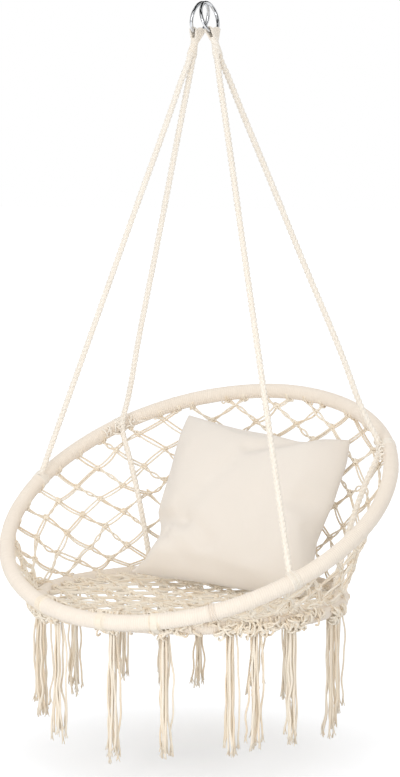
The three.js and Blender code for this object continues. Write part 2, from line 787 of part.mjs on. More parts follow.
function addTassels() {
  const free = tasselAngles.map((angle) => ({
    point: seatHoop.at(rad(angle), 2 * tasselRadius).point,
    drop: wrapRadius + clearance,
  }));
  const tied = lashings.map(({ frame }) => ({
    point: frame.seat.point,
    drop: frame.reach + frame.dip + clearance,
  }));
  [...free, ...tied].forEach(({ point, drop }, i) => {
    const tassel = tasselGeometry(tasselLength * tasselLengthShares[i], i);
    const name = `tassel_${String(i + 1).padStart(2, '0')}`;
    const mesh = add(chair, name, tassel, netCotton);
    mesh.position.copy(point).addScaledVector(up, -drop);
  });
}

// Cushion: two crowned faces that meet at a seam, with the sides drawn in between the corners
function cushionPoint(u, v, face) {
  const draw = (t) => 1 - cushionDrawShare * (1 - t * t);
  const x = cushionHalf * u * draw(v);
  const z = cushionHalf * v * draw(u);
  const crown = cushionCrown * ((1 - u ** 4) * (1 - v ** 4)) ** 0.62;
  return new THREE.Vector3(x, face * crown, z);
}

function cushionGeometry() {
  const n = cushionCells;
  const positions = [];
  const index = [];
  const numbers = new Map();
  const number = (i, j, face) => {
    const rim = i === 0 || j === 0 || i === n || j === n;
    const key = `${i},${j},${rim ? 0 : face}`;
    if (!numbers.has(key)) {
      numbers.set(key, positions.length / 3);
      const p = cushionPoint((2 * i) / n - 1, (2 * j) / n - 1, rim ? 0 : face);
      positions.push(p.x, p.y, p.z);
    }
    return numbers.get(key);
  };
  for (let i = 0; i < n; i += 1) {
    for (let j = 0; j < n; j += 1) {
      [1, -1].forEach((face) => {
        const corners = [number(i, j, face), number(i, j + 1, face), number(i + 1, j + 1, face), number(i + 1, j, face)];
        const [a, b, c, d] = face > 0 ? corners : corners.reverse();
        index.push(a, b, c, a, c, d);
      });
    }
  }
  const geometry = new THREE.BufferGeometry();
  geometry.setAttribute('position', new THREE.Float32BufferAttribute(positions, 3));
  geometry.setIndex(index);
  return geometry.rotateY(rad(cushionRoll)).rotateX(-rad(cushionLean)).rotateZ(rad(cushionTurn));
}

// How far inside the net a point lies, measured level from the seat's middle
function insideNet(point) {
  const level = new THREE.Vector2(point.x - seatX, point.y - seatY);
  const angle = THREE.MathUtils.euclideanModulo(level.angle() - netAngle(0) + turn / 2, turn);
  const column = (angle - turn / 2) / columnAngle;
  if (Math.abs(column) > netReach) return Infinity;
  const net = netPoint(column, Math.min((point.z - seatZ) / netRow, topRow(column)));
  return Math.hypot(net.x - seatX, net.y - seatY) - level.length();
}

function addCushion() {
  const geometry = cushionGeometry();
  const position = geometry.attributes.position;
  const floor = seatZ + seatNetRise + seatNetThickness / 2 + clearance;
  geometry.computeBoundingBox();
  const lift = floor - cushionSink - geometry.boundingBox.min.z;
  const aside = cushionAsideShare * (seatRadius - wrapRadius - cushionHalf);
  geometry.translate(seatX + aside, seatY, lift);
  const room = (back) => {
    let least = Infinity;
    for (let i = 0; i < position.count; i += 1) {
      const corner = new THREE.Vector3().fromBufferAttribute(position, i);
      corner.y += back;
      least = Math.min(least, insideNet(corner));
    }
    return least - cushionGap - netThickness / 2;
  };
  let near = -cushionHalf;
  let far = seatRadius;
  for (let i = 0; i < 24; i += 1) {
    const middle = (near + far) / 2;
    if (room(middle) > 0) near = middle;
    else far = middle;
  }
  geometry.translate(0, near, 0);
  for (let i = 0; i < position.count; i += 1) position.setZ(i, Math.max(position.getZ(i), floor));
  add(chair, 'cushion', geometry, cushionCotton);
}

addSide('left', -1);
addSide('right', 1);
addHoop('big', bigHoop);
addHoop('seat', seatHoop);
addFrontLeg('left', -1);
addFrontLeg('right', 1);
addBackLeg('left', -1);
addBackLeg('right', 1);
addBackNet();
addSeatNet();
lashings.forEach(({ name, frame }) => add(chair, name, lashingGeometry(frame), netCotton));
addTassels();
addCushion();

export default chair;
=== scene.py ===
"""Hammock chair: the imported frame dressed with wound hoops, ropes, a knotted net, lashings, tassels and a cushion.

Metres, +Z up, the sitter looks towards -Y. The origin is where a hook bears inside the tops of the two rings.
"""

import math
from types import SimpleNamespace

import bpy
import numpy as np
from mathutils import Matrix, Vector


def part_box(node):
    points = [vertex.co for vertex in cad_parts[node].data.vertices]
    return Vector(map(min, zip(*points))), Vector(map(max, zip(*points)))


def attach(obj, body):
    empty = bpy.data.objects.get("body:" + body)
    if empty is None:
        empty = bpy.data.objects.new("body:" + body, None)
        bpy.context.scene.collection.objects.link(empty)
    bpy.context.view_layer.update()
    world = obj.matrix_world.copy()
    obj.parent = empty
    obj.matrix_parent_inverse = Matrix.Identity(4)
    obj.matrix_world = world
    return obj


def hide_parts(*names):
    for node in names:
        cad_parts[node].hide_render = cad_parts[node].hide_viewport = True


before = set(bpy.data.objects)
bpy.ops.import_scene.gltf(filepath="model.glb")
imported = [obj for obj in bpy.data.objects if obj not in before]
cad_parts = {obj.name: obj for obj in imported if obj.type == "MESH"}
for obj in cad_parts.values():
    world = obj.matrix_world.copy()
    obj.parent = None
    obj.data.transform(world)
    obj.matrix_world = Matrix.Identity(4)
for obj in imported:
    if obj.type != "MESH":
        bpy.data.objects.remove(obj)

bl_info = {
    "name": "Hammock Chair",
    "version": (1, 0, 0),
    "blender": (4, 5, 0),
    "location": "3D View > Sidebar > Hammock Chair",
    "description": "Builds a hanging chair of wound hoops, knotted net, ropes, tassels and a cushion",
    "category": "Object",
}

TURN = 2 * math.pi
RIGHT, UP = np.array([1.0, 0, 0]), np.array([0, 0, 1.0])
SIDES = {"left": -1, "right": 1}
SQUARE = ((-1, -1), (1, -1), (1, 1), (-1, 1))
SEAT_LOW, SEAT_HIGH = (np.array(corner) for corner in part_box("seat_hoop_wrap"))

# Degrees on the big hoop and on the seat hoop where each rope is hitched
HITCHES = {
    ("front", "left"): (176.5, None),
    ("front", "right"): (-34, None),
    ("back", "left"): (143.5, 138),
    ("back", "right"): (34, 34),
}
# Degrees on the big hoop where the wound cord's end is tied down by three more turns
WHIPPING = [-58.6, -57.9, -57.2]
# How far to the side of the middle each lashing holds the hoops together
LASHINGS = {"left": -0.141, "middle": 0.002, "right": 0.102}
# Degrees on the seat hoop of the tassels that don't hang under a lashing
TASSEL_ANGLES = [6, 38.5, 78, 94, 118, 134, 150, 173, 214, 226, 316, 326, 341]
# Creases of the cushion: from (u, v), to (u, v), width and depth
CUSHION_DENTS = [
    ((0.60, 1.0), (0.02, 0.60), 0.09, 0.014),
    ((-1.0, -0.30), (-0.50, -0.40), 0.09, 0.016),
    ((-0.75, -0.55), (-0.35, -0.80), 0.10, 0.006),
    ((0.10, 0.55), (0.0, -0.30), 0.20, 0.004),
    ((0.95, 0.1), (0.60, 0.0), 0.12, 0.005),
    ((-0.10, 0.40), (-0.42, -0.12), 0.13, 0.007),
    ((-0.60, -0.22), (-0.10, -0.60), 0.10, 0.009),
    ((0.30, 0.0), (0.52, -0.60), 0.13, 0.007),
]
# Sides of the cushion: places along them, and the moves there in half widths
CUSHION_LEFT = [-1, -0.86, -0.52, -0.38, -0.24, 0, 0.46, 1], [0, 0.12, 0.17, 0.11, 0.02, 0, -0.02, 0]
CUSHION_RIGHT = [-1, -0.6, -0.22, 0.2, 0.7, 1], [0.04, 0.085, 0.035, 0.09, 0.07, 0.01]
CUSHION_TOP = [-1, -0.7, -0.3, 0.1, 0.4, 0.65, 1], [0, -0.02, -0.05, -0.06, -0.10, -0.06, -0.06]

# Lamps: place, what they point at, width and watts
LAMPS = {
    "key_light": ((-0.8, -3.6, -0.1), (0, 0, -1.0), 3.0, 4),
    "fill_light": ((2.6, -2.8, -0.9), (0, 0, -1.1), 2.0, 20),
    "top_light": ((-0.2, -0.4, 2.4), (0, 0, -0.9), 1.6, 10),
    "back_light": ((-1.8, 3.2, 0.2), (0, 0, -0.9), 2.4, 9),
    "low_light": ((0.2, -2.3, -0.80), (0, 0, -1.1), 1.0, 11),
}
# Dark cards that the rings mirror: place, width and height
FLAGS = {
    "flag_left": ((-0.36, -0.22, 0.05), 0.42, 0.6),
    "flag_right": ((0.40, -0.02, 0.0), 0.42, 0.6),
    "flag_front": ((0.12, -0.30, 0.30), 0.7, 0.30),
    "flag_back": ((-0.1, 0.42, 0.1), 0.6, 0.6),
    "flag_top": ((0.0, 0.05, 0.42), 0.7, 0.6),
    "flag_low": ((0.22, -0.34, -0.22), 0.16, 0.24),
}


def srgb(red, green, blue):
    """A colour in steps of 0 to 255 as linear values: c/12.92 below 0.04045, else ((c + 0.055)/1.055) to the 2.4."""
    c = np.array([red, green, blue]) / 255
    return tuple(np.where(c <= 0.04045, c / 12.92, ((c + 0.055) / 1.055) ** 2.4).tolist())


# Sizes and colours


def length(name, description, default):
    """A length in metres, with a slider that ends well past it."""
    return bpy.props.FloatProperty(
        name=name, description=description, default=default, min=0, soft_max=4 * default, unit="LENGTH", precision=4
    )


def tilt(name, description, default):
    """An angle, shown in degrees."""
    return bpy.props.FloatProperty(name=name, description=description, default=default, subtype="ANGLE")


def spot(name, description, default):
    """A point, from the hook."""
    return bpy.props.FloatVectorProperty(name=name, description=description, default=default, subtype="TRANSLATION")


def number(name, description, default):
    """A whole number of at least three."""
    return bpy.props.IntProperty(name=name, description=description, default=default, min=3)


def colour(name, description, default):
    """A colour swatch."""
    return bpy.props.FloatVectorProperty(
        name=name, description=description, default=default, min=0, max=1, size=3, subtype="COLOR"
    )


class HoopSizes(bpy.types.PropertyGroup):
    """The two hoops."""

    big_radius: length("Big hoop radius", "Centreline radius of the slanted hoop", 0.385)
    big_slant: tilt("Slant", "How far the big hoop rises to the back", math.radians(28.6))
    big_centre: spot("Big hoop centre", "Its middle, from the hook", (0, -0.029, -0.9555))
    seat_radius: length("Seat hoop radius", "Centreline radius of the level hoop", 0.294)
    seat_centre: spot("Seat hoop centre", "Its middle, from the hook", ((SEAT_LOW + SEAT_HIGH) / 2).tolist())
    wrap_radius: length("Wrap radius", "Outside radius of the wound cord", 0.015)
    wrap_pitch: length("Wrap pitch", "From one turn of the wound cord to the next", 0.0042)
    wrap_ridge: length("Wrap ridge", "How far a turn stands out of its groove", 0.0007)


class RopeSizes(bpy.types.PropertyGroup):
    """Rings, ropes and the bound cord under the rings."""

    ring_radius: length("Ring radius", "Centreline radius of a ring", 0.0293)
    ring_wire: length("Ring wire", "Radius of the ring's wire", 0.0032)
    ring_spread: length("Ring spread", "Sideways from the hook to a ring's middle plane", 0.004294)
    lean: tilt("Lean", "How far rings and ropes lean out", 0.25086)
    radius: length("Rope radius", "Half the width of a plaited rope", 0.0071)
    plait: length("Plait", "Length in which each strand crosses over and back", 0.030)
    leg_apart: length("Leg offset", "From the middle to a leg, front to back", 0.0066)
    fan_cords: number("Fan cords", "Cords that the rope opens into over its ring", 10)
    fan_cord: length("Fan cord", "Radius of one of those cords", 0.0019)
    fan_end: length("Fan end", "From the hook to where those cords end inside the bound cord", 0.0712)
    seizing_top: length("Binding top", "From the hook to the top of the bound cord", 0.0655)
    seizing_end: length("Binding end", "From the hook to the mouth of the bound cord", 0.0996)
    binding: length("Binding cord", "Diameter of the bound cord", 0.0032)


class NetSizes(bpy.types.PropertyGroup):
    """The knotted net."""

    columns: number("Columns", "Half meshes in a full turn", 45)
    reach: number("Reach", "Half meshes to each side of the back", 19)
    row: length("Row", "Half the height of a mesh", 0.0313)
    strand: length("Strand", "Radius of one of the doubled strands", 0.0020)
    open: length("Opening", "How far a pair of strands stands open", 0.0014)
    knot: length("Knot", "Half the width of a knot", 0.0078)
    seat_width: length("Seat mesh width", "Half the width of a mesh of the seat", 0.038)
    seat_length: length("Seat mesh length", "Half the length of a mesh of the seat", 0.028)
    seat_rise: length("Seat rise", "Above the seat hoop's centreline", 0.008)


class TasselSizes(bpy.types.PropertyGroup):
    """The tassels under the seat hoop."""

    strands: number("Strands", "Strands in a tassel", 9)
    strand: length("Strand", "Radius of one strand", 0.0022)
    spread: length("Spread", "Half the width of a tassel", 0.0118)


class CushionSizes(bpy.types.PropertyGroup):
    """The scatter cushion."""

    half: length("Half width", "From its middle to a corner, along one side", 0.190)
    crown: length("Crown", "Half its thickness", 0.062)
    lean: tilt("Lean", "How far it leans back", math.radians(35))
    turn: tilt("Turn", "How far it is turned about the vertical", math.radians(6))
    roll: tilt("Roll", "How far its right side sinks", math.radians(5))
    cells: number("Cells", "Cells along a side of the cloth", 44)


class Finishes(bpy.types.PropertyGroup):
    """Colours of the cords, the cloth, the metal and the floor."""

    wrap: colour("Hoop wrap", "Wound cotton cord", srgb(243, 232, 218))
    rope: colour("Rope", "Plaited cotton rope", srgb(249, 242, 231))
    net: colour("Net", "Knotted cotton cord", srgb(255, 244, 228))
    cushion: colour("Cushion", "Cushion cloth", srgb(239, 231, 221))
    chrome: colour("Chrome", "Polished rings", srgb(214, 216, 219))
    steel: colour("Steel", "Tube inside the wraps", srgb(150, 152, 155))
    floor: colour("Floor", "Floor of the studio", srgb(231, 233, 236))


# Curves and surfaces, worked out as whole arrays


def round_turn(count):
    """Even steps of a full turn, from 0."""
    return np.arange(count) / count * TURN


def unit(vectors):
    """Vectors divided by their own lengths."""
    vectors = np.asarray(vectors, float)
    return vectors / np.linalg.norm(vectors, axis=-1, keepdims=True)


def running_length(path):
    """The length along a run of points up to each of them: the running sum of its steps."""
    steps = np.linalg.norm(np.diff(path, axis=0), axis=1)
    return np.concatenate([[0], np.cumsum(steps)])


def evenly(path, count):
    """A run of points set out again at even steps: each coordinate read off at even shares of the running length."""
    run = running_length(path)
    places = np.linspace(0, run[-1], count)
    return np.stack([np.interp(places, run, path[:, k]) for k in range(3)], axis=1)


def smooth_curve(points, count):
    """A natural cubic spline through the points over their chord length, set out evenly.

    On each span the curve is a(h-x) + b x + m0((h-x)^3/h - h(h-x))/6 + m1(x^3/h - hx)/6, and the second
    derivatives m solve one linear system that makes the slopes agree where spans meet.
    """
    points = np.asarray(points, float)
    knots = running_length(points)
    h = np.diff(knots)[:, None]
    slopes = np.diff(points, axis=0) / h
    n = len(points)
    system = np.eye(n)
    inner = np.arange(1, n - 1)
    system[inner, inner - 1] = h[:-1, 0]
    system[inner, inner] = 2 * (h[:-1, 0] + h[1:, 0])
    system[inner, inner + 1] = h[1:, 0]
    right = np.zeros((n, 3))
    right[1:-1] = 6 * (slopes[1:] - slopes[:-1])
    m = np.linalg.solve(system, right)
    fine = np.linspace(0, knots[-1], 12 * count)
    span = np.clip(np.searchsorted(knots, fine, side="right") - 1, 0, n - 2)
    x = (fine - knots[span])[:, None]
    w = h[span]
    a, b, m0, m1 = points[span], points[span + 1], m[span], m[span + 1]
    curve = a * (w - x) / w + b * x / w
    curve += m0 * ((w - x) ** 3 / w - w * (w - x)) / 6 + m1 * (x**3 / w - w * x) / 6
    return evenly(curve, count)


def framed(paths, ref, closed=False):
    """Tangent t by central differences, u = ref less its part along t, made unit, and v = t x u."""
    if closed:
        t = unit(np.roll(paths, -1, axis=-2) - np.roll(paths, 1, axis=-2))
    else:
        t = unit(np.gradient(paths, axis=-2))
    ref = np.broadcast_to(ref, paths.shape)
    u = unit(ref - (ref * t).sum(-1, keepdims=True) * t)
    return t, u, np.cross(t, u)


class Skin:
    """Surfaces gathered for one piece: points, quads, triangles, each corner's place on the lay, and tones."""

    def __init__(self, seed):
        self.points, self.tones = [], []
        self.quads, self.quad_lay = [], []
        self.tris, self.tri_lay = [np.zeros((0, 3), int)], [np.zeros((0, 3, 2))]
        self.count = 0
        self.chance = np.random.default_rng(seed)

    def tubes(self, paths, radius, sides, ref, closed=False):
        """Sections carried along many paths at once: path + r(u cos f + v sin f), f from 0 to a full turn.

        paths is (many, points, 3), and radius a number or an array that stretches to (many, points, sides).
        The lay's first number is the length along in metres, its second the share of the turn.
        An open tube is closed at each end by a fan to a point that stands a third of the radius proud.
        """
        paths = np.asarray(paths, float)
        if paths.ndim == 2:
            paths = paths[None]
        many, n, _ = paths.shape
        radius = np.broadcast_to(radius, (many, n, sides))[..., None]
        t, u, v = framed(paths, ref, closed)
        f = round_turn(sides)[:, None]
        skin = paths[:, :, None] + radius * (u[:, :, None] * np.cos(f) + v[:, :, None] * np.sin(f))
        first = self.count + np.arange(many)[:, None, None] * n * sides
        i, j = np.meshgrid(np.arange(n if closed else n - 1), np.arange(sides), indexing="ij")
        i1, j1 = (i + 1) % n, (j + 1) % sides
        quads = np.stack([i * sides + j, i * sides + j1, i1 * sides + j1, i1 * sides + j], axis=-1)
        steps = np.linalg.norm(np.diff(paths, axis=1), axis=2)
        last = np.linalg.norm(paths[:, :1] - paths[:, -1:], axis=2)
        run = np.cumsum(np.concatenate([np.zeros((many, 1)), steps, last], axis=1), axis=1)
        low, high = run[:, i], run[:, i + 1]
        share, share1 = np.broadcast_to(j / sides, low.shape), np.broadcast_to((j + 1) / sides, low.shape)
        lay = np.stack([low, share, low, share1, high, share1, high, share], axis=-1)
        tone = self.chance.random(many)
        self.points.append(skin.reshape(-1, 3))
        self.tones.append(np.repeat(tone, n * sides))
        self.quads.append((first[..., None] + quads).reshape(-1, 4))
        self.quad_lay.append(lay.reshape(-1, 4, 2))
        self.count += many * n * sides
        if closed:
            return
        proud = radius.mean(axis=2) / 3
        tips = np.stack([paths[:, 0] - proud[:, 0] * t[:, 0], paths[:, -1] + proud[:, -1] * t[:, -1]], axis=1)
        tip = self.count + 2 * np.arange(many)[:, None]
        a, b = np.arange(sides), (np.arange(sides) + 1) % sides
        start, end = first[:, 0], first[:, 0] + (n - 1) * sides
        head = np.stack(np.broadcast_arrays(tip, start + b, start + a), axis=-1)
        tail = np.stack(np.broadcast_arrays(tip + 1, end + a, end + b), axis=-1)
        zero, full, sa, sb = np.broadcast_arrays(0.0, run[:, n - 1][:, None], a / sides, (a + 1) / sides)
        self.points.append(tips.reshape(-1, 3))
        self.tones.append(np.repeat(tone, 2))
        self.tris += [head.reshape(-1, 3), tail.reshape(-1, 3)]
        head_lay, tail_lay = [zero, sa, zero, sb, zero, sa], [full, sa, full, sa, full, sb]
        self.tri_lay += [np.stack(part, axis=-1).reshape(-1, 3, 2) for part in (head_lay, tail_lay)]
        self.count += 2 * many

    def piece(self, name, body, slot, node):
        """The gathered surfaces as one object that rides on a body and stands for a CAD node."""
        lay = np.concatenate([part.reshape(-1) for part in self.quad_lay + self.tri_lay])
        parts = (np.concatenate(part) for part in (self.points, self.quads, self.tris, self.tones))
        return mesh_piece(name, *parts, lay, body, slot, node)


def mesh_piece(name, points, quads, tris, tones, lay, body, slot, node):
    """Arrays put into a mesh with foreach_set, shaded smooth, and handed to its body."""
    mesh = bpy.data.meshes.new(name)
    corners = np.concatenate([quads.reshape(-1), tris.reshape(-1)]).astype(np.int32)
    starts = np.concatenate([np.arange(len(quads)) * 4, 4 * len(quads) + np.arange(len(tris)) * 3])
    mesh.vertices.add(len(points))
    mesh.vertices.foreach_set("co", points.astype(np.float32).reshape(-1))
    mesh.loops.add(len(corners))
    mesh.loops.foreach_set("vertex_index", corners)
    mesh.polygons.add(len(starts))
    mesh.polygons.foreach_set("loop_start", starts.astype(np.int32))
    mesh.update(calc_edges=True)
    mesh.uv_layers.new(name="Lay").data.foreach_set("uv", lay.astype(np.float32))
    mesh.attributes.new("tone", "FLOAT", "POINT").data.foreach_set("value", tones.astype(np.float32))
    if mesh.validate():
        raise RuntimeError(f"{name}: the mesh had faults")
    mesh.shade_smooth()
    mesh.materials.append(finish(slot))
    piece = bpy.data.objects.new(name, mesh)
    bpy.context.scene.collection.objects.link(piece)
    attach(piece, body)
    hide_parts(node)
    return piece


class Hoop:
    """A hoop's centreline: centre + R(cos a, sin a cos s, sin a sin s).

    a runs from the right towards the back, and s is the slant.
    """

    def __init__(self, centre, radius, slant):
        self.centre, self.radius, self.slant = np.array(centre), radius, slant
        self.normal = np.array([0, -math.sin(slant), math.cos(slant)])

    def outward(self, angle):
        """The unit vector from the middle: (cos a, sin a cos s, sin a sin s)."""
        angle = np.asarray(angle, float)
        lift = np.sin(angle)
        return np.stack([np.cos(angle), lift * math.cos(self.slant), lift * math.sin(self.slant)], axis=-1)

    def point(self, angle):
        """The centreline at an angle: centre + R outward."""
        return self.centre + self.radius * self.outward(angle)

    def tangent(self, angle):
        """The unit vector along the hoop, which is outward a quarter turn on."""
        return self.outward(np.asarray(angle, float) + TURN / 4)

    def bands(self, angle, reach, f):
        """Arcs about the centreline: point + reach(outward cos f + normal sin f)."""
        out = self.outward(angle)[..., None, :] * np.cos(f)[..., None] + self.normal * np.sin(f)[..., None]
        return self.point(angle)[..., None, :] + reach * out


def big_hoop(sizes):
    """The slanted hoop that the net hangs from."""
    return Hoop(sizes.big_centre, sizes.big_radius, sizes.big_slant)


def seat_hoop(sizes):
    """The level hoop round the seat."""
    return Hoop(sizes.seat_centre, sizes.seat_radius, 0)


def wound_hoop(hoop, sizes, seed):
    """A hoop wound with cord: a ring whose radius is wrap - ridge + ridge sqrt(1 - (2q - 1)^2).

    q is the share of the way across one turn of the cord: the fraction of turns a/2pi + f/2pi, which makes the
    winding one long helix. Long waves and a small unevenness from turn to turn are added.
    """
    skin = Skin(seed)
    turns = round(TURN * hoop.radius / sizes.wrap_pitch)
    samples, sides, uneven, wave = 6, 20, 0.00012, 0.00015
    a, f = round_turn(turns * samples), round_turn(sides)
    across = (turns * a[:, None] + f) / TURN
    ridge = np.sqrt(1 - (2 * (across % 1) - 1) ** 2)
    own = skin.chance.normal(0, 1, turns)[np.floor(across).astype(int) % turns]
    waves = sum(
        skin.chance.normal(0, 1) * np.sin(k * a[:, None] + skin.chance.random() * TURN + f) for k in (3, 5, 8, 13)
    )
    radius = sizes.wrap_radius - sizes.wrap_ridge * (1 - ridge) + own * uneven + wave * waves
    skin.tubes(hoop.point(a), radius, sides, hoop.outward(a), closed=True)
    return skin


def plait(skin, path, ref, radius, pitch):
    """Three strands plaited about a path: strand k stands off by a sin T along u and b sin 2T along v.

    T is 2pi(s/pitch + k/3). a is 0.42 and b 0.26 of the rope's radius, and a strand is as thick as what a leaves.
    """
    cycles, samples = max(1, round(running_length(path)[-1] / pitch)), 14
    even = evenly(path, cycles * samples + 1)
    _, u, v = framed(even, ref)
    share = np.arange(len(even)) / (cycles * samples)
    phase = TURN * (cycles * share + np.arange(3)[:, None] / 3)
    aside, over = 0.42 * radius, 0.26 * radius
    strands = even + aside * np.sin(phase)[..., None] * u + over * np.sin(2 * phase)[..., None] * v
    skin.tubes(strands, radius - aside, 7, u)


def leaned(sizes, sign, points):
    """Points of a side's own upright frame, turned out about the y axis and moved aside."""
    x, y, z = np.moveaxis(np.asarray(points, float), -1, 0)
    c, s = math.cos(sizes.lean), -sign * math.sin(sizes.lean)
    return np.stack([x * c + z * s + sign * sizes.ring_spread, y, z * c - x * s], axis=-1)


def square_to(direction, tangent):
    """A direction less its part along a tangent, made unit."""
    return unit(direction - direction.dot(tangent) * tangent)


def leg_curve(ropes, hoops, place, hand):
    """A hanging leg's curve and its round turns: out of the binding, then straight to the hoops."""
    front, sign = place == "front", SIDES[hand]
    reach = hoops.wrap_radius + 0.35 * ropes.radius  # the rope is drawn tight into the winding
    y = ropes.leg_apart * (-1 if front else 1)
    start = [leaned(ropes, sign, [0, y, -(ropes.seizing_end + d)]) for d in (-0.006, 0.0, 0.005)]
    eye = leaned(ropes, sign, [0, 0, -ropes.seizing_end])
    on_big, on_seat = HITCHES[place, hand]
    big, seat = big_hoop(hoops), seat_hoop(hoops)
    a = math.radians(on_big)
    if front:
        upward = square_to(eye - big.point(a), big.tangent(a))
        below = [big.point(a) + upward * reach]
        turns = [(big, a, upward)]
    else:
        b, bend = math.radians(on_seat), 0.045
        middle = np.array([*seat.centre[:2], big.point(a)[2]])
        through = big.point(a) + square_to(middle - big.point(a), big.tangent(a)) * reach
        rise = square_to(UP - seat.outward(b), seat.tangent(b))
        foot = seat.point(b) + rise * reach
        below = [through + unit(eye - through) * bend, through, through + unit(foot - through) * bend, foot]
        turns = [(big, a, unit(through - big.point(a))), (seat, b, rise)]
    taut = [start[2] + share * (below[0] - start[2]) for share in (0.04, 0.08, 0.3, 0.6, 0.85)]
    return smooth_curve([*start, *taut, *below], 600), turns


def rope_hitch(skin, hoop, angle, towards, hoops, ropes):
    """Turns of cord about a hoop and its rope: reach = wrap + rise(1 - 0.8 p^2) exp(-((f - f0)/0.45)^2).

    f0 is the side that the rope lies on, and p runs from -1 to 1 over the turns, side by side along the hoop.
    """
    cord, turns, width = 0.0015, 6, 0.45
    facing = math.atan2(towards.dot(hoop.normal), towards.dot(hoop.outward(angle)))
    f = round_turn(40)
    off = (f - facing + math.pi) % TURN - math.pi
    place = (np.arange(turns) - (turns - 1) / 2) / ((turns - 1) / 2)
    rise = 0.7 * ropes.radius * (1 - 0.8 * place**2)[:, None] * np.exp(-((off / width) ** 2))
    reach = (hoops.wrap_radius - 0.1 * cord + rise + skin.chance.normal(0, 0.0002, (turns, 1)))[..., None]
    a = angle + place * (turns - 1) * cord / hoop.radius
    skin.tubes(hoop.bands(a, reach, f), cord * 1.05, 6, hoop.tangent(a)[:, None], closed=True)


# The net's surface


class Net:
    """The backrest as a ruled surface: a column is an angle about the seat hoop's middle, a row a height.

    A point is the mix of the seat hoop's point and the big hoop's point in that direction, by its height's share.
    """

    def __init__(self, hoops, sizes):
        self.hoops, self.sizes = hoops, sizes
        self.big, self.seat = big_hoop(hoops), seat_hoop(hoops)

    def angle(self, column):
        """A column's angle: a quarter turn, which is the back, plus its share of a turn."""
        return TURN / 4 + np.asarray(column, float) * TURN / self.sizes.columns

    def foot(self, column):
        """The seat hoop's point under a column."""
        return self.seat.point(self.angle(column))

    def top(self, column):
        """Where a level ray from the seat's middle meets the big hoop as seen from above, which is an ellipse."""
        a = self.angle(column)
        across = np.array([self.big.radius, self.big.radius * math.cos(self.big.slant)])
        direction = np.stack([np.cos(a), np.sin(a)], axis=-1)
        start = (self.seat.centre - self.big.centre)[:2] / across
        way = direction / across
        p, q = (way**2).sum(-1), (way * start).sum(-1)
        distance = (np.sqrt(q * q - p * (start.dot(start) - 1)) - q) / p
        level = self.seat.centre[:2] + direction * distance[..., None]
        z = self.big.centre[2] + (level[..., 1] - self.big.centre[1]) * math.tan(self.big.slant)
        return np.concatenate([level, z[..., None]], axis=-1)

    def top_angle(self, column):
        """The big hoop's own angle at that point."""
        level = (self.top(column) - self.big.centre)[..., :2]
        return np.arctan2(level[..., 1] / math.cos(self.big.slant), level[..., 0])

    def top_row(self, column):
        """That point's height, in half meshes above the seat hoop."""
        return (self.top(column)[..., 2] - self.seat.centre[2]) / self.sizes.row

    def point(self, column, height):
        """The mix of foot and top by the height's share; a height counts half meshes above the seat hoop."""
        share = (height / self.top_row(column))[..., None]
        return self.foot(column) * (1 - share) + self.top(column) * share

    def across_and_up(self, column, height):
        """Unit vectors along the rows and up the columns by small differences, and the normal they span."""
        d = 0.02
        across = unit(self.point(column + d, height) - self.point(column - d, height))
        rise = unit(self.point(column, height + d) - self.point(column, height - d))
        return across, rise, unit(np.cross(across, rise))

    def height(self, row):
        """Row 0 stands on the seat hoop's winding, and row r that many half meshes above its centreline."""
        low = (self.hoops.wrap_radius + self.sizes.strand) / self.sizes.row
        return np.where(row < 1, low + (1 - low) * row, row)

    def room(self, column):
        """The height at which a cord meets the big hoop's winding from below."""
        return self.top_row(column) - 0.92 * self.hoops.wrap_radius / self.sizes.row


def net_lattice(net, chance):
    """The net's knots by column and row, column + row odd, and its cords from knot to knot or from knot to big hoop.

    A knot stands where there is room for it under the big hoop. A cord that finds no knot half a mesh aside and
    half a mesh up or down runs on the same way until it meets the hoop.
    """
    reach, clear, stray = net.sizes.reach, 0.45, 0.0034
    c, r = np.meshgrid(np.arange(-reach, reach + 1), np.arange(int(net.top_row(0.0)) + 1), indexing="ij")
    knot = ((c + r) % 2 == 1) & (r < net.room(c) - clear)
    c, r = c[knot].astype(float), r[knot].astype(float)
    across, rise, normal = net.across_and_up(c, net.height(r))
    shift = chance.normal(0, stray, (len(c), 2)) * (r > 0)[:, None]
    place = net.point(c, net.height(r)) + shift[:, :1] * across + shift[:, 1:] * rise
    index = np.full((knot.shape[0] + 2, knot.shape[1] + 2), -1)
    index[1:-1, 1:-1][knot] = np.arange(len(c))
    cords, ends = [], []
    t = np.linspace(0.02, 2.4, 120)  # half meshes along a cord at which it is tried against the hoop
    for s in (-1, 1):
        for v in (-1, 1):
            other = index[(c + reach + 1 + s).astype(int), (r + 1 + v).astype(int)]
            if v == 1:
                whole = np.nonzero(other >= 0)[0]
                cords.append((place[whole], place[other[whole]], c[whole] + s / 2, normal[whole]))
            cut = np.nonzero((other < 0) & (r + v >= 0))[0]
            column = c[cut, None] + s * t
            height = net.height(r[cut, None] + v * t)
            over = height >= net.room(column)
            found = over.any(axis=1)
            cut, first = cut[found], np.argmax(over[found], axis=1)
            column, height = column[found][np.arange(len(cut)), first], height[found][np.arange(len(cut)), first]
            cords.append((place[cut], net.point(column, height), (c[cut] + column) / 2, normal[cut]))
            ends.append((column, rise[cut]))
    cords = [np.concatenate(part) for part in zip(*cords)]
    ends = [np.concatenate(part) for part in zip(*ends)]
    return (c, r, place, across, rise, normal), cords, ends


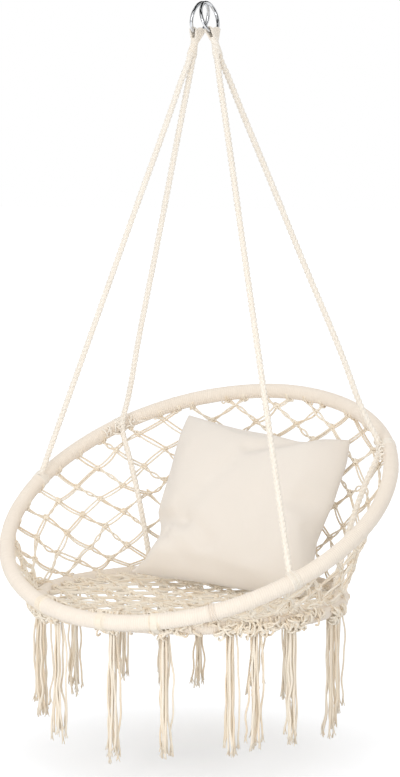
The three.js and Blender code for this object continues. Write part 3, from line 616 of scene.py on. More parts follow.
def dense_front(skin, hoops, sizes, hand):
    """A finer lattice at one front end of the backrest: meshes half as wide and three quarters as high.

    Each side of a mesh has four cords, and hitches run along the seat hoop under it. It holds from a column well
    round to the front on, where the big hoop is only a few rows up.
    """
    fine = SimpleNamespace(columns=2 * sizes.columns, reach=39, row=0.75 * sizes.row, strand=sizes.strand)
    net = Net(hoops, fine)
    start, rows = 27, 9

    def here(column):
        return (column * hand > start) & (net.top_row(column) < rows)

    (c, r, place, across, rise, normal), (starts, ends, column, facing), _ = net_lattice(net, skin.chance)
    there = here(column)
    for opening in (sizes.open, 2.5 * sizes.open):
        paired_cords(skin, starts[there], ends[there], facing[there], sizes.strand, opening)
    there = here(c) & (r > 0)
    knots(skin, place[there], across[there], rise[there], normal[there], sizes)
    from_back = np.radians(np.arange(98, 172, 4.3))
    a = TURN / 4 + hand * from_back
    out = unit(net.seat.outward(a) + 0.25 * UP)
    spots = net.seat.point(a) + hoops.wrap_radius * out
    hitches(skin, spots, out, net.seat.tangent(a), size=0.014, strand=0.0021, count=5)


def paired_cords(skin, starts, ends, normal, strand, opening):
    """Two strands, k = -1 and 1, along each line: line + a side + b normal - sag w z, with w = sin(pi q)^0.7.

    a is k(0.95 strand + opening w)cos(pi m q) + slack w, and b is lift w + k strand sin(pi m q). q is the share of
    the way and m the half turns that the pair makes, 0 to 2. Opening, slack, lift and sag differ from pair to pair.
    """
    chance, many = skin.chance, (len(starts), 1, 1)
    q = np.linspace(0, 1, 11)
    halves = math.pi * chance.choice([0, 0, 0, 1, 2], many) * q[None, :, None]
    centres = starts[:, None] + (ends - starts)[:, None] * q[:, None]
    normal = np.broadcast_to(normal[:, None], centres.shape)
    side = unit(np.cross(normal, (ends - starts)[:, None]))
    w = (np.sin(math.pi * q) ** 0.7)[None, :, None]
    opening = opening * chance.uniform(0.0, 1.7, many)
    centres = centres - chance.uniform(0, 0.0045, many) * w * UP
    slack = chance.normal(0, 0.0016, many)
    for k in (-1, 1):
        own = chance.normal(0, 0.0008, many)
        lift = chance.normal(0, 0.0008, many)
        apart = k * (strand * 0.95 + opening * w)
        paths = centres + (apart * np.cos(halves) + (slack + own) * w) * side
        paths = paths + (lift * w + k * strand * np.sin(halves)) * normal
        skin.tubes(paths, strand, 6, normal)


def knots(skin, places, side, rise, normal, sizes):
    """Three turns about each knot: place + share(a side cos f + b normal sin f) + h rise, f a full turn.

    h is strand(1.75 k + 0.7 cos f) for the outer turns k = -1 and 1, and -0.5 strand cos f for the middle one.
    Each knot is spun a little in the net's plane.
    """
    f = round_turn(10)[None, :, None]
    a = (sizes.knot - sizes.strand) * skin.chance.uniform(0.85, 1.1, (len(places), 1, 1))
    b = 0.7 * a
    spin = skin.chance.uniform(-0.6, 0.6, (len(places), 1, 1))
    side, rise, normal = side[:, None], rise[:, None], normal[:, None]
    side, rise = side * np.cos(spin) + rise * np.sin(spin), rise * np.cos(spin) - side * np.sin(spin)
    for k, share, lean in ((-1, 0.74, 0.7), (0, 1.0, -0.5), (1, 0.74, 0.7)):
        high = sizes.strand * (1.75 * k + lean * np.cos(f))
        ring = places[:, None] + share * (a * np.cos(f) * side + b * np.sin(f) * normal) + high * rise
        skin.tubes(ring, sizes.strand * 1.12, 6, rise, closed=True)


def hoop_loops(skin, hoop, angles, sizes, hoops, towards, spread):
    """Doubled loops over the side of a hoop's wrap that faces what they hold.

    A loop is centre + reach(outward cos f + normal sin f) for f within spread of that side, and its reach
    falls by 4 mm q^4, q from -1 to 1, so that both ends dive into the winding.
    """
    apart, dive = 0.0038, 0.004
    towards = np.broadcast_to(towards, (*angles.shape, 3))
    facing = np.arctan2((towards * hoop.normal).sum(-1), (towards * hoop.outward(angles)).sum(-1))
    q = np.linspace(-1, 1, 13)
    reach = (hoops.wrap_radius + 0.5 * sizes.strand - dive * q**4)[:, None]
    for k in (-1, 1):
        a = angles + k * apart / 2 / hoop.radius * skin.chance.uniform(0.7, 1.2, angles.shape)
        paths = hoop.bands(a, reach, facing[:, None] + spread * q)
        skin.tubes(paths, sizes.strand * 0.92, 6, hoop.tangent(a)[:, None])


def hitches(skin, centres, out, along, size, strand, count):
    """Clusters of small hitches: arches m + r(cos f side + 0.75 sin f lift), f a little past half a turn.

    side is turned at random in the plane of the surface, lift leans at random from its normal, and m is near the
    cluster's centre.
    """
    out, along = np.broadcast_to(out, centres.shape), np.broadcast_to(along, centres.shape)
    up = np.cross(out, along)
    f = np.linspace(-0.25, 1.25, 9)[None, :, None] * math.pi
    chance, many = skin.chance, (len(centres), 1)
    for _ in range(count):
        spin, tip = chance.uniform(0, TURN, many), chance.normal(0, 0.35, many)
        side = np.cos(spin) * along + np.sin(spin) * up
        lift = np.cos(tip) * out + np.sin(tip) * np.cross(out, side)
        r = (size * chance.uniform(0.4, 0.75, many))[..., None]
        middle = centres + size * (chance.normal(0, 0.55, many) * along + chance.normal(0, 0.45, many) * up)
        paths = middle[:, None] + r * (np.cos(f) * side[:, None] + 0.75 * np.sin(f) * lift[:, None])
        skin.tubes(paths, strand, 6, np.cross(side, lift)[:, None])


# Materials


class Nodes:
    """The node tree of a material or world: each call adds a node and gives back what comes out of it."""

    def __init__(self, owner):
        owner.use_nodes = True
        self.owner, self.tree = owner, owner.node_tree

    def fill(self, node, inputs):
        """Gives a node its inputs by name or number: numbers, vectors, colours, or what comes out of other nodes."""
        for key, value in inputs.items():
            socket = node.inputs[key]
            if isinstance(value, bpy.types.NodeSocket):
                self.tree.links.new(value, socket)
            else:
                socket.default_value = (*value, 1) if socket.type == "RGBA" else value

    def add(self, kind, inputs=None, output=0, **settings):
        """A node of that kind with its settings and inputs; output is what comes out of it, by name or number."""
        node = self.tree.nodes.new(f"ShaderNode{kind}")
        for key, value in settings.items():
            setattr(node, key, value)
        self.fill(node, inputs or {})
        return node.outputs[output]

    def calc(self, operation, *terms):
        """A Math node."""
        return self.add("Math", dict(enumerate(terms)), operation=operation)

    def plus(self, one, two):
        """The sum of two terms."""
        return self.calc("ADD", one, two)

    def times(self, one, two):
        """The product of two terms."""
        return self.calc("MULTIPLY", one, two)

    def blend(self, factor, one, two):
        """A mix of two colours."""
        return self.add("Mix", {0: factor, 6: one, 7: two}, 2, data_type="RGBA")

    def noise(self, place, scale, detail, rough):
        """Noise by any place."""
        return self.add("TexNoise", {"Vector": place, "Scale": scale, "Detail": detail, "Roughness": rough})

    def spots(self, scale, detail, rough):
        """Noise by the place on the piece."""
        return self.noise(self.add("TexCoord", output="Object"), scale, detail, rough)

    def stretched(self, place, scale):
        """A place scaled by its own amount along each axis."""
        return self.add("Mapping", {"Vector": place, "Scale": scale})

    def lay(self):
        """The place on the piece's own lay, and its two numbers: along and round a cord, or the cloth's two ways."""
        place = self.add("UVMap", uv_map="Lay")
        split = self.add("SeparateXYZ", {"Vector": place}).node
        return place, split.outputs[0], split.outputs[1]

    def seen(self):
        """1 where the camera or a mirror looks at it, else 0."""
        rays = self.add("LightPath").node
        return self.calc("MAXIMUM", rays.outputs["Is Camera Ray"], rays.outputs["Is Glossy Ray"])

    def surface(self, tint, rough, height, strength, depth, inputs):
        """The material with that colour and roughness, a bump from that height, and the shader's other inputs."""
        normal = self.add("Bump", {"Height": height, "Strength": strength, "Distance": depth})
        self.fill(
            self.tree.nodes["Principled BSDF"], {"Base Color": tint, "Roughness": rough, "Normal": normal, **inputs}
        )
        return self.owner


def shade(colour, amount):
    """A colour made darker and a little warmer, or lighter where the amount is over 1."""
    r, g, b = colour
    return (min(r * amount**0.85, 1), min(g * amount, 1), min(b * amount**1.2, 1))


def cotton(specular, sheen, sheen_rough):
    """How cotton takes light: a dull gloss, and the sheen of its fibres."""
    return {"Specular IOR Level": specular, "Sheen Weight": sheen, "Sheen Roughness": sheen_rough}


def cord_material(material, colour, yarns, lay, depth, tone_shade):
    """Twisted cotton cord: yarns wind round it once in each lay length.

    It has fibres along the yarns and soft colour changes. It also has painted shade: the grooves between the yarns
    are darkened towards a warm shade colour, and the last argument is how far a strand's random tone darkens it
    towards that same colour, a painted shade between strands laid on at random.
    """
    nodes = Nodes(material)
    plus, times, calc = nodes.plus, nodes.times, nodes.calc
    _, along, around = nodes.lay()
    phase = plus(times(around, yarns), calc("DIVIDE", along, lay / yarns))
    ridge = calc("ABSOLUTE", calc("SINE", times(phase, math.pi)))
    fibres = nodes.noise(nodes.add("CombineXYZ", {"X": phase, "Y": times(along, 60)}), 9, 3, 0.6)
    tone = nodes.add("Attribute", output="Fac", attribute_name="tone")
    # The warm, dark colour of the painted shade
    warm_shade = tuple(c * f for c, f in zip(colour, (0.80, 0.69, 0.54)))
    groove = calc("POWER", calc("SUBTRACT", 1, ridge), 2.2)
    base = nodes.blend(nodes.spots(23, 4, 0.55), shade(colour, 0.93), shade(colour, 1.04))
    # Painted shade laid on at random: a strand's random tone darkens it towards the shade colour, standing in for the
    # shade between strands
    base = nodes.blend(times(calc("POWER", tone, 2), tone_shade), base, warm_shade)
    # Painted shade: the grooves between the yarns are darkened towards the shade colour
    base = nodes.blend(times(groove, 0.3), base, warm_shade)
    base = nodes.blend(times(fibres, 0.12), base, shade(colour, 0.86))
    height = plus(plus(ridge, times(fibres, 0.35)), times(nodes.spots(900, 2, 0.7), 0.25))
    return nodes.surface(base, plus(0.78, times(fibres, 0.2)), height, 0.8, depth, cotton(0.25, 0.25, 0.6))


def wrap_material(material, colour, pitch):
    """Cord wound tightly round a hoop: fibres along each turn, painted shade darkening the grooves between turns, and
    turns that differ a little.
    """
    nodes = Nodes(material)
    plus, times, calc = nodes.plus, nodes.times, nodes.calc
    _, along, around = nodes.lay()
    turns = plus(calc("DIVIDE", along, pitch), around)
    share, which = calc("FRACT", turns), calc("FLOOR", turns)
    ridge = calc("SINE", times(share, math.pi))
    place = nodes.add("CombineXYZ", {"X": times(share, 5.0), "Y": times(around, 46.0), "Z": which})
    yarn = nodes.noise(place, 1.0, 3, 0.6)
    own = nodes.add("TexWhiteNoise", {"W": which}, noise_dimensions="1D")
    groove = calc("POWER", calc("SUBTRACT", 1, ridge), 2.5)
    base = nodes.blend(nodes.spots(16, 4, 0.5), shade(colour, 0.95), shade(colour, 1.03))
    # Each turn's own tone, then painted shade darkening the grooves between turns, then the yarn's fibres
    for mask, amount, dark in ((own, 0.35, 0.92), (groove, 0.35, 0.74), (yarn, 0.16, 0.78)):
        base = nodes.blend(times(mask, amount), base, shade(colour, dark))
    height = plus(ridge, times(yarn, 0.5))
    return nodes.surface(base, plus(0.74, times(yarn, 0.2)), height, 0.5, 0.0004, cotton(0.3, 0.2, 0.5))


def cloth_material(material, colour, pitch):
    """Plain-woven cotton: warp and weft ridges from the cloth's own lay in metres, slubs, and faint shading."""
    nodes = Nodes(material)
    plus, times = nodes.plus, nodes.times
    place, across, down = nodes.lay()
    weave = times(*(nodes.calc("SINE", times(way, TURN / pitch)) for way in (across, down)))
    slub, cross_slub = (nodes.noise(nodes.stretched(place, way), 1, 2, 0.6) for way in ((900, 26, 1), (26, 900, 1)))
    slubs = plus(slub, cross_slub)
    base = nodes.blend(nodes.spots(9, 4, 0.55), shade(colour, 0.97), shade(colour, 1.02))
    base = nodes.blend(times(slubs, 0.12), base, shade(colour, 0.82))
    base = nodes.blend(times(plus(weave, 1), 0.06), base, shade(colour, 0.75))
    height = plus(times(weave, 0.5), slubs)
    return nodes.surface(base, plus(0.8, times(slub, 0.15)), height, 0.35, 0.0004, cotton(0.2, 0.3, 0.5))


def metal_material(material, colour, rough, grain):
    """Metal with fine marks: a noise stretched by its grain varies the roughness, the tint and a slight bump."""
    nodes = Nodes(material)
    place = nodes.stretched(nodes.add("TexCoord", output="Object"), grain)
    marks = nodes.noise(place, 1, 5, 0.65)
    rough = nodes.plus(rough * 0.6, nodes.times(marks, rough * 0.8))
    return nodes.surface(nodes.blend(marks, shade(colour, 0.88), colour), rough, marks, 0.15, 0.0001, {"Metallic": 1})


def finish(slot):
    """The finish of one of the record's material slots, made when it is first asked for."""
    scene = bpy.context.scene
    key, make, *values = {
        "wrap_cord": ("wrap", wrap_material, scene.hammock_hoops.wrap_pitch),
        "rope": ("rope", cord_material, 3, 0.030, 0.0004, 0.2),
        "net_cord": ("net", cord_material, 3, 0.011, 0.0005, 0.55),
        "cushion_cloth": ("cushion", cloth_material, 0.0011),
        "chrome_ring": ("chrome", metal_material, 0.1, (160, 160, 160)),
        "steel_tube": ("steel", metal_material, 0.4, (700, 700, 30)),
    }[slot]
    name = f"hammock_{key}"
    if name in bpy.data.materials:
        return bpy.data.materials[name]
    return make(bpy.data.materials.new(name), tuple(getattr(scene.hammock_finishes, key)), *values)


# Operators


class HAMMOCK_OT_tubes(bpy.types.Operator):
    """Give the bent steel tubes inside the wraps their brushed finish"""

    bl_idname = "hammock.tubes"
    bl_label = "Steel Tubes"

    def execute(self, context):
        for name in ("big_hoop_tube", "seat_hoop_tube"):
            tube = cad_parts[name]
            tube.data.materials.clear()
            tube.data.materials.append(finish("steel_tube"))
        return {"FINISHED"}


class HAMMOCK_OT_hoops(bpy.types.Operator):
    """Wind both hoops with cord"""

    bl_idname = "hammock.hoops"
    bl_label = "Wound Hoops"

    def execute(self, context):
        sizes = context.scene.hammock_hoops
        for name, hoop, seed in (("big", big_hoop(sizes), 1), ("seat", seat_hoop(sizes), 2)):
            skin = wound_hoop(hoop, sizes, seed)
            if name == "big":
                a, cord, proud = np.radians(WHIPPING), 0.0013, 0.0004
                paths = hoop.bands(a, sizes.wrap_radius + proud, round_turn(36))
                skin.tubes(paths, cord, 6, hoop.tangent(a)[:, None], closed=True)
            skin.piece(f"{name}_hoop_winding", "chair", "wrap_cord", f"{name}_hoop_wrap")
        return {"FINISHED"}


class HAMMOCK_OT_rings(bpy.types.Operator):
    """Make the two polished rings"""

    bl_idname = "hammock.rings"
    bl_label = "Rings"

    def execute(self, context):
        """A ring's centreline is R(0, cos a, sin a), its top's inside at the hook, then leaned out to its side.

        The wire is 0.3 mm thicker at its weld.
        """
        ropes = context.scene.hammock_ropes
        a = round_turn(96)
        inner = ropes.ring_radius - ropes.ring_wire
        circle = np.stack([0 * a, ropes.ring_radius * np.cos(a), ropes.ring_radius * np.sin(a) - inner], axis=1)
        proud, at, width = 0.0003, 0.35 * TURN, 0.05
        weld = proud * np.exp(-(((a - at) / width) ** 2))
        for side, sign in SIDES.items():
            skin = Skin(seed=sign + 5)
            out = leaned(ropes, sign, circle + RIGHT) - leaned(ropes, sign, circle)
            skin.tubes(leaned(ropes, sign, circle), (ropes.ring_wire + weld)[:, None], 24, out, closed=True)
            skin.piece(f"ring_{side}_polished", "rings", "chrome_ring", f"ring_{side}")
        return {"FINISHED"}


def ring_fan(ropes):
    """The rope opened into cords over its ring: cord i crosses at angle t_i, at r = R - over sin f, x = aside cos f.

    So the fan slides along the ring as it swings. Below the ring each cord runs in towards the bound cord.
    """
    clear_over, clear_aside, half_fan = 0.0005, 0.0016, 0.55
    over, aside = (ropes.ring_wire + ropes.fan_cord + clear for clear in (clear_over, clear_aside))
    middle = ropes.ring_wire - ropes.ring_radius
    t = half_fan * np.linspace(-1, 1, ropes.fan_cords)[:, None]
    f = np.linspace(0, math.pi, 9)
    low, ones = np.linspace(0, 1, 7)[1:], np.ones(6)
    down = np.concatenate([low[::-1], 0 * f, low])
    beside = np.concatenate([-ones, -np.cos(f), ones]) * aside * (1 - 0.4 * down)
    from_middle = ropes.ring_radius - over * np.concatenate([0 * ones, np.sin(f), 0 * ones])
    x = beside * (1 + 0.12 * (np.arange(ropes.fan_cords) % 2))[:, None]
    y = from_middle * np.sin(t) * (1 - 0.66 * down)
    z = (middle - from_middle * np.cos(t)) * (1 - down) - ropes.fan_end * down
    return np.stack([x, y, z], axis=2)


def bound_cord(ropes, sides):
    """A binding's axis and its radii: a straight oval tube with a waist and a wider mouth, ridged by its turns.

    The oval is 1/sqrt((cos f/wide)^2 + (sin f/deep)^2), less groove (1 - ridge).
    """
    turns = round((ropes.seizing_end - ropes.seizing_top) / ropes.binding)
    n = turns * 8 + 1
    z = -np.linspace(ropes.seizing_top, ropes.seizing_end, n)
    low, groove = np.linspace(0, 1, n)[:, None], 0.0007
    across = turns * low + np.arange(sides) / sides
    ridge = np.sqrt(1 - (2 * (across % 1) - 1) ** 2)
    ends = np.clip(np.minimum(np.arange(n), np.arange(n)[::-1]) / 6, 0, 1)[:, None]
    wide = np.interp(low, [0, 0.35, 1], [0.0082, 0.0070, 0.0088])
    deep = np.interp(low, [0, 0.35, 1], [0.0098, 0.0074, 0.0140])
    f = round_turn(sides)
    oval = 1 / np.sqrt((np.cos(f) / wide) ** 2 + (np.sin(f) / deep) ** 2)
    return np.stack([0 * z, 0 * z, z], axis=1), oval * (0.9 + 0.1 * np.sqrt(ends)) - groove * (1 - ridge)


class HAMMOCK_OT_eyes(bpy.types.Operator):
    """Lay the bights in the rings and bind them"""

    bl_idname = "hammock.eyes"
    bl_label = "Rope Eyes"

    def execute(self, context):
        ropes, sides = context.scene.hammock_ropes, 28
        axis, radius = bound_cord(ropes, sides)
        for side, sign in SIDES.items():
            skin = Skin(seed=sign + 8)
            skin.tubes(leaned(ropes, sign, ring_fan(ropes)), ropes.fan_cord, 7, np.array([0.0, 1.0, 0.1]))
            skin.piece(f"rope_eye_{side}_cords", "rope_eyes", "rope", f"rope_eye_{side}")
            skin = Skin(seed=sign + 11)
            skin.tubes(leaned(ropes, sign, axis), radius, sides, RIGHT)
            skin.piece(f"seizing_{side}_binding", "rope_eyes", "rope", f"seizing_{side}")
        return {"FINISHED"}


class HAMMOCK_OT_ropes(bpy.types.Operator):
    """Plait the four hanging ropes and hitch them to the hoops"""

    bl_idname = "hammock.ropes"
    bl_label = "Ropes"

    def execute(self, context):
        ropes, hoops = context.scene.hammock_ropes, context.scene.hammock_hoops
        for k, (place, side) in enumerate(HITCHES):
            skin = Skin(seed=20 + k)
            curve, turns = leg_curve(ropes, hoops, place, side)
            plait(skin, curve, np.array([-0.75, 0.65, 0.0]), ropes.radius, ropes.plait)
            for hoop, angle, towards in turns:
                rope_hitch(skin, hoop, angle, towards, hoops, ropes)
            if place == "back":
                hoop, angle, towards = turns[0]
                near = angle + np.linspace(-0.10, 0.10, 7)
                spots = hoop.point(near) + (hoops.wrap_radius + 0.001) * towards
                hitches(skin, spots, towards, hoop.tangent(near), size=0.012, strand=0.0019, count=2)
            skin.piece(f"rope_{place}_{side}_plait", "chair", "rope", f"rope_{place}_{side}")
        return {"FINISHED"}


class HAMMOCK_OT_back_net(bpy.types.Operator):
    """Knot the net between the two hoops"""

    bl_idname = "hammock.back_net"
    bl_label = "Back Net"

    def execute(self, context):
        """The lattice shared out over eight panels by column, with loops where it hangs from and stands on a hoop."""
        hoops, sizes = context.scene.hammock_hoops, context.scene.hammock_net
        net = Net(hoops, sizes)
        knot, cord, end = net_lattice(net, np.random.default_rng(39))
        panels, wide = 8, 4

        def panel(column):
            return np.clip((column + wide * panels / 2) // wide, 0, panels - 1)

        for i in range(panels):
            skin = Skin(seed=40 + i)
            starts, ends, _, normal = (part[panel(cord[2]) == i] for part in cord)
            paired_cords(skin, starts, ends, normal, sizes.strand, sizes.open)
            c, r, place, across, rise, normal = (part[panel(knot[0]) == i] for part in knot)
            knots(skin, place[r > 0], across[r > 0], rise[r > 0], normal[r > 0], sizes)
            if i in (0, panels - 1):
                dense_front(skin, hoops, sizes, -1 if i == 0 else 1)
            column, upward = (part[panel(end[0]) == i] for part in end)
            held = net.top_angle(column)
            hoop_loops(skin, net.big, held, sizes, hoops, -upward, spread=1.3)
            spots = net.big.point(held) - (hoops.wrap_radius + 0.001) * upward
            hitches(skin, spots, -upward, net.big.tangent(held), size=0.0075, strand=0.0016, count=4)
            hoop_loops(skin, net.seat, net.angle(c[r == 0]), sizes, hoops, rise[r == 0], spread=1.2)
            skin.piece(f"back_net_{i + 1}_knotted", "chair", "net_cord", f"back_net_{i + 1}")
        return {"FINISHED"}


def seat_lines(wide, long, edge):
    """The seat's cords: starts, ways, and the shares low and high of each way that lie inside the hoop.

    The cords are the sides of level diamonds, and a line leaves the circle of radius edge where
    |start + share way|^2 = edge^2.
    """
    span = math.ceil(edge / min(wide, long)) + 1
    c, r, s = np.meshgrid(np.arange(-span, span + 1), np.arange(-span, span + 1), [-1, 1], indexing="ij")
    keep = (c + r) % 2 == 0
    start = np.stack([c[keep] * wide, r[keep] * long], axis=1)
    end = np.stack([(c + s)[keep] * wide, (r + 1)[keep] * long], axis=1)
    way = end - start
    p, h = (way**2).sum(1), (start * way).sum(1)
    inside = h * h - p * ((start**2).sum(1) - edge**2)
    root = np.sqrt(np.maximum(inside, 0))
    low, high = np.clip((-h - root) / p, 0, 1), np.clip((-h + root) / p, 0, 1)
    keep = (inside > 0) & (high - low > 0.12)
    return start[keep], way[keep], low[keep], high[keep]


class HAMMOCK_OT_seat_net(bpy.types.Operator):
    """Knot the net across the seat hoop"""

    bl_idname = "hammock.seat_net"
    bl_label = "Seat Net"

    def execute(self, context):
        """A lattice cut off at the inside of the seat hoop, whose lines waver by 4 mm and which sags by 7 mm.

        The sag is 0.007(1 - (r/edge)^2), r the distance from the middle.
        """
        hoops, sizes = context.scene.hammock_hoops, context.scene.hammock_net
        hoop, waver, sag = seat_hoop(hoops), 0.004, 0.007
        edge = hoop.radius - hoops.wrap_radius
        start, way, low, high = seat_lines(sizes.seat_width, sizes.seat_length, edge)

        def at(xy):
            x, y = xy.T
            level = xy + waver * np.stack([np.sin(31 * y + 9 * x), np.sin(27 * x - 13 * y)], axis=1)
            rise = sizes.seat_rise - sag * (1 - (xy**2).sum(-1) / edge**2)
            return hoop.centre + np.concatenate([level, rise[..., None]], axis=-1)

        first, final = start + low[:, None] * way, start + high[:, None] * way
        skin = Skin(seed=60)
        up = np.broadcast_to(UP, (len(first), 3))
        for opening in (sizes.open, 4 * sizes.open):
            paired_cords(skin, at(first), at(final), up, sizes.strand, opening)
        joins = np.concatenate([start[low == 0], (start + way)[high == 1]])
        joins = np.unique(np.round(joins, 6), axis=0)
        knots(skin, at(joins), *(np.tile(axis, (len(joins), 1)) for axis in np.eye(3)), sizes)
        cuts = np.concatenate([first[low > 0], final[high < 1]])
        angles = np.arctan2(cuts[:, 1], cuts[:, 0])
        hoop_loops(skin, hoop, angles, sizes, hoops, -hoop.outward(angles), spread=0.8)
        skin.piece("seat_net_knotted", "chair", "net_cord", "seat_net")
        return {"FINISHED"}


def lashing_frame(hoops, offset):
    """The middle between the hoops at an offset to the side, the ways across, between and along, and half the gap."""
    big, seat = big_hoop(hoops), seat_hoop(hoops)
    a = -math.acos(offset / big.radius)
    b = -math.acos((offset - seat.centre[0]) / seat.radius)
    along = unit(big.tangent(a) + seat.tangent(b))
    between = seat.point(b) - big.point(a)
    between = between - between.dot(along) * along
    y = unit(between)
    return (big.point(a) + seat.point(b)) / 2, np.cross(y, along), y, along, np.linalg.norm(between) / 2


class HAMMOCK_OT_lashings(bpy.types.Operator):
    """Bind the two hoops together at the front"""

    bl_idname = "hammock.lashings"
    bl_label = "Front Lashings"

    def execute(self, context):
        """Cord wound about both hoops: middle + x r cos f + y(r sin f + spread tanh(6 sin f)), plus a step along.

        Each of its two layers takes eight turns, and the second one runs back over the first.
        """
        hoops = context.scene.hammock_hoops
        turns, thick = 8, 0.0013
        f = np.linspace(0, turns * TURN, turns * 40)
        for k, (side, offset) in enumerate(LASHINGS.items()):
            middle, x, y, along, spread = lashing_frame(hoops, offset)
            skin = Skin(seed=70 + k)
            for layer, width in ((0, 0.021), (1, -0.012)):
                reach = hoops.wrap_radius + thick * (0.8 * layer - 0.3)
                step = (f / f[-1] - 0.5) * width
                path = middle + np.outer(reach * np.cos(f), x) + np.outer(step, along)
                path += np.outer(reach * np.sin(f) + spread * np.tanh(6 * np.sin(f)), y)
                skin.tubes(evenly(path, 300), thick, 7, along)
            spots = middle + np.outer([-0.020, -0.007, 0.008, 0.022], along) - (hoops.wrap_radius - 0.001) * x
            hitches(skin, spots, -x, along, size=0.014, strand=0.0020, count=10)
            skin.piece(f"front_lashing_{side}_cord", "chair", "net_cord", f"front_lashing_{side}")
        return {"FINISHED"}


def tassel_strands(chance, low, high, sizes):
    """Strands that hang at angles g about a tassel's middle: radius spread(0.62 + 0.1 q + 0.42 q^4), plus slow waves.

    q is the share of the way down. Each strand has a width and a length of its own, every third one hangs near
    the middle, and every fifth one bows out.
    """
    which, many = np.arange(sizes.strands)[:, None], (sizes.strands, 1)
    q = np.linspace(0, 1, 19)
    g = (which / sizes.strands + chance.uniform(-0.05, 0.05, many)) * TURN
    ring = np.where(which % 3 == 0, 0.3, 1.0)
    width = sizes.spread * (0.62 + 0.1 * q + 0.42 * q**4) * ring * chance.uniform(0.6, 1.25, many)
    fall = (high[2] - low[2]) * chance.uniform(0.86, 0.985, many)
    wave = sum(
        chance.normal(0, 0.0021 / n**0.5, (2, *many)) * np.sin(TURN * (n * q + chance.random((2, *many))))
        for n in (0.7, 1.6, 3.1)
    ) * q**0.6
    width = width + (which % 5 == 1) * chance.uniform(0.002, 0.011, many) * np.sin(math.pi * q**0.8)
    middle = (low + high) / 2
    x, y = middle[0] + width * np.cos(g) + wave[0], middle[1] + width * np.sin(g) + wave[1]
    return np.stack([x, y, high[2] + 0.002 - fall * q], axis=2)


def frayed_ends(skin, ends):
    """Four thin fibres at each strand's end: end + 3 mm z + spread(cos g, sin g)(0.25 + p^1.5) - down p z, p to 1."""
    each, p = (len(ends), 4), np.linspace(0, 1, 5)[:, None]
    g = (np.arange(4) / 4 + skin.chance.random(each) * 0.2) * TURN
    spread = skin.chance.uniform(0.001, 0.0042, each)
    down = skin.chance.uniform(0.009, 0.015, each)
    out = np.stack([np.cos(g) * spread, np.sin(g) * spread, 0 * g], axis=2)[:, :, None]
    fibres = ends[:, None, None] + out * (0.25 + p**1.5) + 0.003 * UP - down[..., None, None] * p * UP
    skin.tubes(fibres.reshape(-1, 5, 3), 0.0015 * (1 - 0.4 * p), 4, RIGHT)


class HAMMOCK_OT_tassels(bpy.types.Operator):
    """Hang the tassels under the seat hoop"""

    bl_idname = "hammock.tassels"
    bl_label = "Tassels"

    def execute(self, context):
        """Strands, frayed ends, three loops over the hoop, and hitches at the top, which spread further in front."""
        hoops, net, sizes = (getattr(context.scene, f"hammock_{group}") for group in ("hoops", "net", "tassels"))
        seat = seat_hoop(hoops)
        tied = [math.degrees(-math.acos((x - seat.centre[0]) / seat.radius)) for x in LASHINGS.values()]
        for k, degrees in enumerate([*TASSEL_ANGLES, *tied]):
            skin, angle, name = Skin(seed=90 + k), math.radians(degrees), f"tassel_{k + 1:02d}"
            paths = tassel_strands(skin.chance, *(np.array(corner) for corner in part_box(name)), sizes)
            skin.tubes(paths, sizes.strand, 6, RIGHT)
            frayed_ends(skin, paths[:, -1])
            hoop_loops(skin, seat, angle + np.array([-0.018, 0.0, 0.018]), net, hoops, -UP, spread=2.4)
            front = math.sin(angle) < 0.4
            near = angle + np.array([-0.055, 0.0, 0.055]) * front
            out = unit(seat.outward(near) - (0.45 if front else 0.9) * UP)
            spots = seat.point(near) + out * (hoops.wrap_radius + 0.002)
            size = 0.015 if front else 0.009
            hitches(skin, spots, out, seat.tangent(near), size, strand=0.0021, count=8)
            skin.piece(f"{name}_strands", "chair", "net_cord", name)
        return {"FINISHED"}


def cushion_grid(n):
    """Two square faces of (n + 1)^2 points that share their rim: u, v in -1 to 1, the face's sign, and the quads."""
    side = n + 1
    front = np.arange(side * side).reshape(side, side)
    back = front.copy()
    back[1:-1, 1:-1] = side * side + np.arange((n - 1) ** 2).reshape(n - 1, n - 1)
    u, v = np.meshgrid(np.linspace(-1, 1, side), np.linspace(-1, 1, side), indexing="ij")
    sign = np.zeros((side, side))
    sign[1:-1, 1:-1] = -1
    face = np.concatenate([sign.reshape(-1), np.ones((n - 1) ** 2)])
    u, v = (np.concatenate([part.reshape(-1), part[1:-1, 1:-1].reshape(-1)]) for part in (u, v))

    def cells(g, step):
        corners = [g[:-1, :-1], g[1:, :-1], g[1:, 1:], g[:-1, 1:]]
        return np.stack(corners[::step], axis=-1).reshape(-1, 4)

    return u, v, face, np.concatenate([cells(front, 1), cells(back, -1)])


